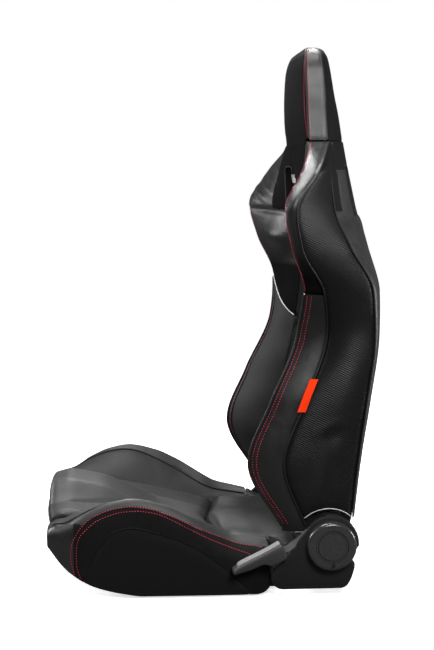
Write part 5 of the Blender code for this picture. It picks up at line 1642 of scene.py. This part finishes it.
    def hip_ring(self, x: float, front: float, under: float) -> Ring:
        """Return the hip pad's outline across the seat at x."""
        sewn = held((abs(x) - self.centre_half + self.hip_roll) / self.hip_roll)
        top = self.hip_top - CHANNEL * sewn
        rear = self.hip_rear_y
        if abs(x) > self.centre_half:
            rows = [(front, under), (front, under + 8.0), (front, under + 16.0), (front, top + 10.0),
                    (front + 4.0, top + 13.0), (front + 10.0, top + 10.0), (front + 20.0, top + 2.0)]
        else:
            tip = front - self.hip_tongue
            rows = [(front, under), (tip, under + 5.0), (tip, under + 17.0), (front, top - 12.0),
                    (front + 3.0, top - 3.6), (front + 12.0, top + 2.5), (front + 30.0, top + 2.5)]
        rows += [(0.5 * (front + rear) + 8.0, top - 3.0), (rear - 26.0, top), (rear - 6.0, top - 3.0),
                 (rear, top - 10.0), (rear, under)]
        return [Vector((x, y, z)) for y, z in rows]

    def hip_pad(self) -> None:
        """Build the pad between the hips with its pointed front."""
        edge = self.centre_half
        rings = [self.hip_ring(x, self.hip_edge(x), self.foam_z) for x in steps(-edge, edge, 25)]
        front = self.end_y - 0.6
        for x in (edge + 0.3, self.hip_ear):
            rings = [self.hip_ring(-x, front, self.member_top)] + rings
            rings = rings + [self.hip_ring(x, front, self.member_top)]
        item = Workshop.loft("hip_cover", rings)
        Workshop.inflate(item, 1.5, 2.2)
        Workshop.press(item, self.dimples)
        dress(item, SIDE_SUEDE, Body.BASE, "cushion_hip_pad")

    def dimples(self, point: Vector) -> float:
        """Return the depth of the hip pad's two dimples, less the swell between them."""
        if point.z < self.hip_top - 18.0:
            return 0.0
        dimple = 7.0 * bell(math.hypot(abs(point.x) - 80.0, point.y - 22.0), 34.0)
        return dimple - 4.0 * bell(math.hypot(point.x + 5.0, point.y - 50.0), 40.0)

    def apron_skin(self) -> None:
        """Build the thin apron under the front edge."""
        rings = []
        for x in steps(-self.centre_half, self.centre_half, 41):
            outer = self.apron_side(x, 0.0)
            inner = self.apron_side(x, SKIN)
            rings.append([Vector((x, p.x, p.y)) for p in outer + inner[::-1]])
        item = dress(Workshop.loft("front_apron", rings, 50.0), LEATHER, Body.BASE, "cushion_apron")

    def bolster_ring(self, y: float) -> Ring:
        """Return the left bolster's outline across the seat at y."""
        low = self.side_bottom(y)
        under = max(self.member_top, low + 1.0)
        top = self.ridge_top(y)
        out = self.side_half(y)
        sewn = self.welt_share(y)
        shares = steps(0.0, sewn, 15) + steps(sewn, 1.0, 9)[1:]
        rows = [Vector((self.centre_half + SEAM - self.tuck(y), under))]
        rows += [self.inner_face(y, t) for t in shares]
        rows += [self.roll(y, t) for t in steps(0.0, 1.0, 25)[1:]]
        waist = rows[-1].y
        rows += [Vector((out, waist + (low - waist) * t)) for t in steps(0.0, 1.0, 10)[1:]]
        lip = min(self.lip_half, out - 8.0)
        rows += [Vector((lip, low)), Vector((lip, under))]
        return [Vector((p.x, y, p.y)) for p in rows]

    def inner_face(self, y: float, t: float) -> Vector:
        """Return a point on the bolster's inner face, from its foot to its crest."""
        top = self.ridge_top(y)
        under = max(self.member_top, self.side_bottom(y) + 1.0)
        start = min(max(self.centre_top(y), self.hip_top - 2.0) - CHANNEL, top - 3.0)
        foot = Vector((self.centre_half + SEAM, max(start, under + 2.0)))
        crest = Vector((self.side_half(y) - self.ridge_inset(y), top))
        pull = 0.5 * (foot + crest) + Vector((-0.10, 0.22)) * (top - foot.y)
        return quadratic(foot, pull, crest, t)

    def welt_point(self, y: float) -> Vector:
        """Return the point on a bolster's inner face where its welt runs."""
        point = self.inner_face(y, self.welt_share(y))
        return Vector((point.x, y, point.y))

    def roll(self, y: float, t: float) -> Vector:
        """Return a point on the bolster's outer roll, from its crest to its side."""
        top = self.ridge_top(y)
        out = self.side_half(y)
        inset = self.ridge_inset(y)
        height = top - self.side_bottom(y)
        rows = (Vector((out - inset, top)), Vector((out - 0.36 * inset, top)),
                Vector((out, top - 0.17 * height)), Vector((out, top - 0.45 * height)))
        weights = ((1 - t) ** 3, 3 * t * (1 - t) ** 2, 3 * t * t * (1 - t), t ** 3)
        point = Vector((0.0, 0.0))
        for weight, row in zip(weights, rows):
            point += row * weight
        return point

    def surface(self, y: float, z: float) -> float:
        """Return how far out the bolster's side is at a depth and height."""
        top = self.ridge_top(y)
        waist = top - 0.45 * (top - self.side_bottom(y))
        if z <= waist:
            return self.side_half(y)
        return self.roll(y, solve(lambda t: z - self.roll(y, t).y, 0.0, 1.0)).x

    def bolster(self, label: str, side: float) -> None:
        """Build one side bolster and sink the recess for its side panel."""
        stops = [self.front_y + self.bow + rise for rise in (0.0, 2.5, 5.0, 10.0, 16.0, 22.0, 28.0, 36.0)]
        stops += steps(-264.0, self.end_y, 62)
        nose = self.bolster_ring(stops[0])
        middle = sum(nose, Vector()) / len(nose)
        rings = [[middle + (p - middle) * shrink + Vector((0.0, -ahead, 0.0)) for p in nose]
                 for shrink, ahead in ((0.60, 2.6), (0.85, 2.0), (0.96, 1.0))]
        rings += [self.bolster_ring(y) for y in stops]
        item = Workshop.loft(f"bolster_cover_{label}", rings, 50.0, side=side)
        rows = [self.skirt_front - SEAM] + steps(self.skirt_front + 3.0, self.skirt_rear - 3.0, 50)
        rings = []
        for y in rows + [self.skirt_rear + SEAM]:
            low = self.side_bottom(y) - 6.0
            high = self.skirt_top(y) + SEAM
            near = self.half - SKIN - 0.3
            far = self.half + 8.0
            rings.append([Vector((x, y, z)) for x, z in ((near, low), (far, low), (far, high), (near, high))])
        Workshop.cut(item, Workshop.loft("recess", rings, side=side), 50.0)
        dress(item, LEATHER, Body.BASE, f"cushion_bolster_{label}")
        second_finish(item, SIDE_SUEDE, lambda p: abs(p.x) < self.welt_point(p.y).x)
        second_finish(item, SUEDE, self.on_crest)
        second_finish(item, BLACK_LEATHER, self.on_side)

    def on_crest(self, point: Vector) -> bool:
        """Tell whether a point lies on a bolster's crest, between its welt and its red rows."""
        outside = abs(point.x) > self.welt_point(point.y).x
        return outside and point.y > self.red_front and point.z > self.red_top(point.y)

    def on_side(self, point: Vector) -> bool:
        """Tell whether a point lies on a bolster's matt outer side, below its red rows."""
        outside = abs(point.x) > self.side_half(point.y) - self.ridge_inset(point.y)
        return outside and point.y > self.red_front and point.z < self.red_top(point.y)

    def skirt(self, label: str, side: float) -> None:
        """Build one ribbed panel on the cushion's side."""
        rings = []
        for y in steps(self.skirt_front, self.skirt_rear, 72):
            low = self.side_bottom(y)
            high = self.skirt_top(y)
            outer = []
            for z in steps(low, high, 16):
                edge = min(high - z, y - self.skirt_front, self.skirt_rear - y)
                outer.append(Vector((self.half + 0.8 - 1.2 * bell(edge, 6.0), y, z)))
            inner = [Vector((self.half - SKIN, y, z)) for z in steps(high, low, 16)]
            rings.append(outer + inner)
        item = Workshop.loft(f"skirt_cover_{label}", rings, 60.0, side=side)
        dress(item, SKIRT, Body.BASE, f"cushion_side_panel_{label}")

    def trim(self, label: str, side: float) -> None:
        """Build the welt along the bolster's inner crest."""
        route = [self.welt_point(y) + Vector((-0.2, 0.0, 0.4)) for y in steps(-300.0, self.end_y - 3.0, 90)]
        dress(Workshop.tube(f"cushion_welt_{label}", mirror(route, side), 2.2), WELT, Body.BASE)

    def stitch(self, side: float) -> None:
        """Sew the two red rows on the bolster's roll and the dark row over the side panel."""
        for row in self.red_rows:
            path = Curve([(i, y) for i, (y, _) in enumerate(row)])
            rise = Curve([(i, z) for i, (_, z) in enumerate(row)])
            route = []
            for t in steps(0.0, len(row) - 1.0, 130):
                y = path(t)
                z = rise(t)
                route.append(Vector((self.surface(y, z) + 0.5, y, z)))
            self.needle.row(RED_THREAD, Body.BASE, mirror(route, side))
        dark = [Vector((self.half + 0.4, y, self.skirt_top(y) + 3.0)) for y in steps(-205.0, -120.0, 40)]
        self.needle.row(DARK_THREAD, Body.BASE, mirror(dark, side))


# Recliners and lever


@dataclass
class Recliner:
    """Moulded covers and turned caps over the recline axis."""

    inside: float = 252.3
    face: float = 268.5
    outside: float = 271.0
    radius: float = 49.0
    wall: float = 2.5
    cap_in: float = 271.3
    cap_out: float = 289.3
    cap_radius: float = 42.5
    cap_edge: float = 7.0
    groove: float = 26.0
    keyhole: float = 4.4
    keyhole_drop: float = 33.0
    toe = ((72.3, 46, 6), (72.3, 26, 10), (86, 14, 10), (203, 14, 14), (214, 34, 14), (221, 64, 20))
    neck = ((-53, 12), (-57, 4), (-62, -5), (-69, -14), (-77, -23), (-86, -31), (-94, -36), (-100, -42))

    def build(self) -> None:
        """Build both covers and caps."""
        for label, side in SIDES:
            self.cover(label, side)
            self.cap(label, side)

    def outline(self) -> list[Vector]:
        """Return the cover's side view, counter-clockwise from its front corner."""
        hub = around(self.radius, -4.0, 148.0, 40)
        neck = [Vector((HINGE_Y + y, HINGE_Z + z)) for y, z in self.neck]
        return rounded(self.toe, 6) + hub + neck

    def cover(self, label: str, side: float) -> None:
        """Build one cover as a rounded cup with its lever mouth."""
        shape = self.outline()
        rows = ((self.wall, self.face), (self.wall, self.inside), (0.0, self.inside),
                (0.0, self.outside - 3.0), (0.3, self.outside - 1.6), (1.2, self.outside - 0.4),
                (2.6, self.outside))
        rings = [[Vector((x, p.x, p.y)) for p in offset(shape, inset)] for inset, x in rows]
        item = Workshop.loft(f"cover_{label}", rings, 35.0, side=side)
        if side > 0:
            low = Vector((self.inside - 5.0, 78.0, 79.0))
            high = Vector((self.face, 167.0, 165.0))
            corners = [(low.y, low.z), (high.y, low.z), (high.y, high.z), (low.y, high.z)]
            mouth = [[Vector((x, y, z)) for y, z in corners] for x in (low.x, high.x)]
            Workshop.cut(item, Workshop.loft("mouth", mouth), 35.0)
        dress(item, COVER, Body.BASE, f"recliner_cover_{label}")

    def cap(self, label: str, side: float) -> None:
        """Build one cap with its ring groove and keyhole."""
        out = self.cap_out
        rim = self.cap_radius
        edge = self.cap_edge
        profile = [(self.cap_in, 0.5), (self.cap_in, rim - 1.0), (out - edge - 2.0, rim)]
        profile += [(out - edge + edge * math.sin(a), rim - edge + edge * math.cos(a)) for a in
                    [math.radians(t) for t in steps(0.0, 90.0, 12)]]
        profile += [(out - 0.3, self.groove + 2.4), (out - 2.5, self.groove + 1.3), (out - 2.8, self.groove),
                    (out - 2.5, self.groove - 1.3), (out - 0.5, self.groove - 2.4), (out - 0.4, 0.5)]
        item = Workshop.turned(f"cap_{label}", profile, HINGE_Y, HINGE_Z, side)
        bore = [(out - 6.0, self.keyhole), (out + 2.0, self.keyhole)]
        hole = Workshop.turned("keyhole", bore, HINGE_Y, HINGE_Z - self.keyhole_drop, side, 24)
        Workshop.cut(item, hole, 32.0)
        slit = [[Vector((side * x, HINGE_Y + y, HINGE_Z + z)) for y, z in ((-2.4, -32.0), (2.4, -32.0),
                                                                          (2.4, -23.5), (-2.4, -23.5))]
                for x in (out - 3.5, out + 2.0)]
        Workshop.cut(item, Workshop.loft("slit", slit), 32.0)
        dress(item, CAP, Body.BASE, f"pivot_cap_{label}")


@dataclass
class Lever:
    """Paddle grip of the release lever with its ribbed top."""

    grip_in: float = 261.0
    grip_width: float = 27.0
    rib_count: int = 9

    def build(self) -> None:
        """Build the grip and its ribbed pad."""
        self.grip()
        self.ribs()

    @staticmethod
    def outline() -> list[Vector]:
        """Return the grip's side view."""
        return rounded([(100, 73, 5), (90, 99, 7), (60, 83, 20), (18, 62, 14), (5, 53, 6), (7, 45, 6),
                        (40, 55, 14), (60, 64, 10), (73, 59, 8)], 7)

    @staticmethod
    def top(y: float) -> float:
        """Return the height of the grip's upper face."""
        return Curve([(8, 55.5), (18, 62), (60, 83), (86, 97.5)])(y)

    def grip(self) -> None:
        """Build the paddle with softened edges."""
        rings = []
        for share, shrink in ((0.0, 3.0), (0.03, 1.4), (0.09, 0.3), (0.18, 0.0), (0.82, 0.0),
                              (0.91, 0.3), (0.97, 1.4), (1.0, 3.0)):
            x = self.grip_in + self.grip_width * share
            rings.append([Vector((x, p.x, p.y)) for p in offset(self.outline(), shrink)])
        dress(Workshop.loft("grip_body", rings, 40.0), PLASTIC, Body.LEVER, "lever_grip")

    def ribs(self) -> None:
        """Build the pale ribbed pad on the grip's upper face."""
        rings = []
        count = self.rib_count * 6 + 1
        for y in steps(14.0, 86.0, 30):
            z = self.top(y)
            end = min(1.0, min(y - 13.0, 87.0 - y) / 3.0)
            upper = []
            for share in steps(0.10, 0.90, count):
                wave = 0.5 + 0.5 * math.cos(2.0 * math.pi * self.rib_count * (share - 0.1) / 0.8)
                x = self.grip_in + self.grip_width * share
                upper.append(Vector((x, y, z + end * (0.7 + wave))))
            lower = [Vector((p.x, y, z - 1.5)) for p in (upper[-1], upper[0])]
            rings.append(upper + lower)
        dress(Workshop.loft("grip_ribs", rings, 50.0), GRIP, Body.LEVER)


# Frame


class SeatFrame:
    """Finishes for the solids of the frame that stay as they are."""

    FINISHES = {
        "side_member": PAINT, "front_cross_tube": PAINT, "rear_cross_tube": PAINT, "centre_strap": PAINT,
        "recliner_plate": PAINT, "recliner_arm": PAINT, "back_hoop": PAINT, "lower_cross_bar": PAINT,
        "upper_cross_bar": PAINT, "seat_spring": WIRE, "back_spring": WIRE, "recline_spring": WIRE,
        "fixed_disc": ZINC, "moving_disc": ZINC, "foot_bolt": ZINC,
        "lever_arm": DARK_STEEL, "release_rod": DARK_STEEL,
    }

    def build(self) -> None:
        """Give every kept solid its finish."""
        for item in [piece for piece in bpy.data.objects if piece.type == "MESH"]:
            for start, finish in self.FINISHES.items():
                if item.name.startswith(start):
                    item.data.materials.clear()
                    item.data.materials.append(finish.material())
                    LOG.info("%s takes %s", item.name, finish.name)


# Studio


@dataclass
class Studio:
    """Camera, floor and plain soft light."""

    target: Vector = field(default_factory=lambda: Vector((0.0, 0.0, 0.44283)))
    distance: float = 2.507
    turn: float = 4.26
    tilt: float = 6.16
    lens: float = 73.94
    mirror_share: float = 0.05

    def build(self) -> None:
        """Set up camera, lamps, floor and background."""
        self.camera()
        self.floor()
        self.world()
        self.lamp("top", Vector((0.0, -0.4, 2.6)), 1.2, 80.0)
        self.lamp("camera_side", Vector((2.4, 0.5, 1.9)), 0.9, 68.0)
        self.lamp("front", Vector((0.5, -2.2, 1.7)), 0.9, 14.0)
        self.lamp("far", Vector((-1.0, -1.75, 0.85)), 0.35, 22.0)
        self.lamp("far_top", Vector((-1.5, 0.15, 2.2)), 1.4, 5.0, Vector((0.25, 0.13, 0.80)), 26.0)
        self.lamp("rear", Vector((0.25, 2.2, 0.6)), 0.6, 28.0)

    def camera(self) -> None:
        """Place the camera at the photograph's angle."""
        turn = math.radians(self.turn)
        tilt = math.radians(self.tilt)
        back = Vector((math.cos(turn) * math.cos(tilt), -math.sin(turn) * math.cos(tilt), math.sin(tilt)))
        data = bpy.data.cameras.new("camera")
        data.lens = self.lens
        data.sensor_width = 36.0
        item = bpy.data.objects.new("camera", data)
        item.location = self.target + back * self.distance
        item.rotation_euler = (-back).to_track_quat("-Z", "Y").to_euler()
        bpy.context.scene.collection.objects.link(item)
        bpy.context.scene.camera = item

    def lamp(self, name: str, place: Vector, size: float, power: float,
             aim: Optional[Vector] = None, spread: float = 180.0) -> None:
        """Add one square soft light.

        Args:
            name: Name of the lamp.
            place: Where it stands, in metres.
            size: Side of its square, in metres.
            power: Power in watts.
            aim: Point that it faces, the middle of the seat where none is given.
            spread: Angle of its beam in degrees.
        """
        data = bpy.data.lights.new(name, "AREA")
        data.size = size
        data.energy = power
        data.spread = math.radians(spread)
        item = bpy.data.objects.new(name, data)
        item.location = place
        item.rotation_euler = ((aim or self.target) - place).to_track_quat("-Z", "Y").to_euler()
        bpy.context.scene.collection.objects.link(item)

    def shown(self, tree: bpy.types.NodeTree) -> Socket:
        """Return how far a ray sees the white studio: fully if direct, in part if mirrored."""
        path = tree.nodes.new("ShaderNodeLightPath")
        mirrored = tree.nodes.new("ShaderNodeMath")
        mirrored.operation = "MULTIPLY_ADD"
        mirrored.inputs[1].default_value = self.mirror_share
        direct = tree.nodes.new("ShaderNodeMath")
        direct.operation = "MAXIMUM"
        tree.links.new(path.outputs["Is Glossy Ray"], mirrored.inputs[0])
        tree.links.new(path.outputs["Is Camera Ray"], mirrored.inputs[2])
        tree.links.new(mirrored.outputs[0], direct.inputs[0])
        tree.links.new(path.outputs["Is Transmission Ray"], direct.inputs[1])
        return direct.outputs[0]

    def floor(self) -> None:
        """Add the pale floor."""
        body = bmesh.new()
        bmesh.ops.create_grid(body, x_segments=1, y_segments=1, size=6.0)
        mesh = bpy.data.meshes.new("floor")
        body.to_mesh(mesh)
        body.free()
        item = Workshop.link("floor", mesh)
        item.location.z = -0.0005
        made = bpy.data.materials.new("pale_floor")
        made.use_nodes = True
        tree = made.node_tree
        links = tree.links
        shader = tree.nodes["Principled BSDF"]
        shader.inputs["Roughness"].default_value = 0.9
        shader.inputs["Specular IOR Level"].default_value = 0.0
        length = tree.nodes.new("ShaderNodeVectorMath")
        length.operation = "LENGTH"
        links.new(tree.nodes.new("ShaderNodeTexCoord").outputs["Object"], length.inputs[0])
        ends = {"From Min": 0.45, "From Max": 1.3, "To Min": 0.72, "To Max": 1.08}
        links.new(spread(tree, length.outputs["Value"], ends), shader.inputs["Emission Strength"])
        seen = self.shown(tree)
        for name, unseen in (("Base Color", 0.10), ("Emission Color", 0.0)):
            links.new(blended(tree, seen, grey(unseen), grey(0.95)), shader.inputs[name])
        mesh.materials.append(made)

    def world(self) -> None:
        """Show white behind the seat and light it with a softer grey."""
        world = bpy.data.worlds.new("studio")
        world.use_nodes = True
        bpy.context.scene.world = world
        nodes = world.node_tree.nodes
        links = world.node_tree.links
        soft = nodes["Background"]
        soft.inputs["Color"].default_value = (1.0, 1.0, 1.0, 1.0)
        soft.inputs["Strength"].default_value = 0.04
        white = nodes.new("ShaderNodeBackground")
        white.inputs["Color"].default_value = (1.0, 1.0, 1.0, 1.0)
        white.inputs["Strength"].default_value = 1.0
        mix = nodes.new("ShaderNodeMixShader")
        links.new(self.shown(world.node_tree), mix.inputs["Fac"])
        links.new(soft.outputs["Background"], mix.inputs[1])
        links.new(white.outputs["Background"], mix.inputs[2])
        links.new(mix.outputs["Shader"], nodes["World Output"].inputs["Surface"])
        bpy.context.scene.view_settings.view_transform = "Standard"


def main() -> None:
    """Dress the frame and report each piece."""
    logging.basicConfig(level=logging.INFO, format="%(name)s: %(message)s", stream=sys.stdout)
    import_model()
    needle = Needle(StitchTree())
    Studio().build()
    Backrest(needle).build()
    Headrest(needle).build()
    Cushion(needle).build()
    Recliner().build()
    Lever().build()
    SeatFrame().build()
    needle.sew()


if __name__ == "__main__":
    main()
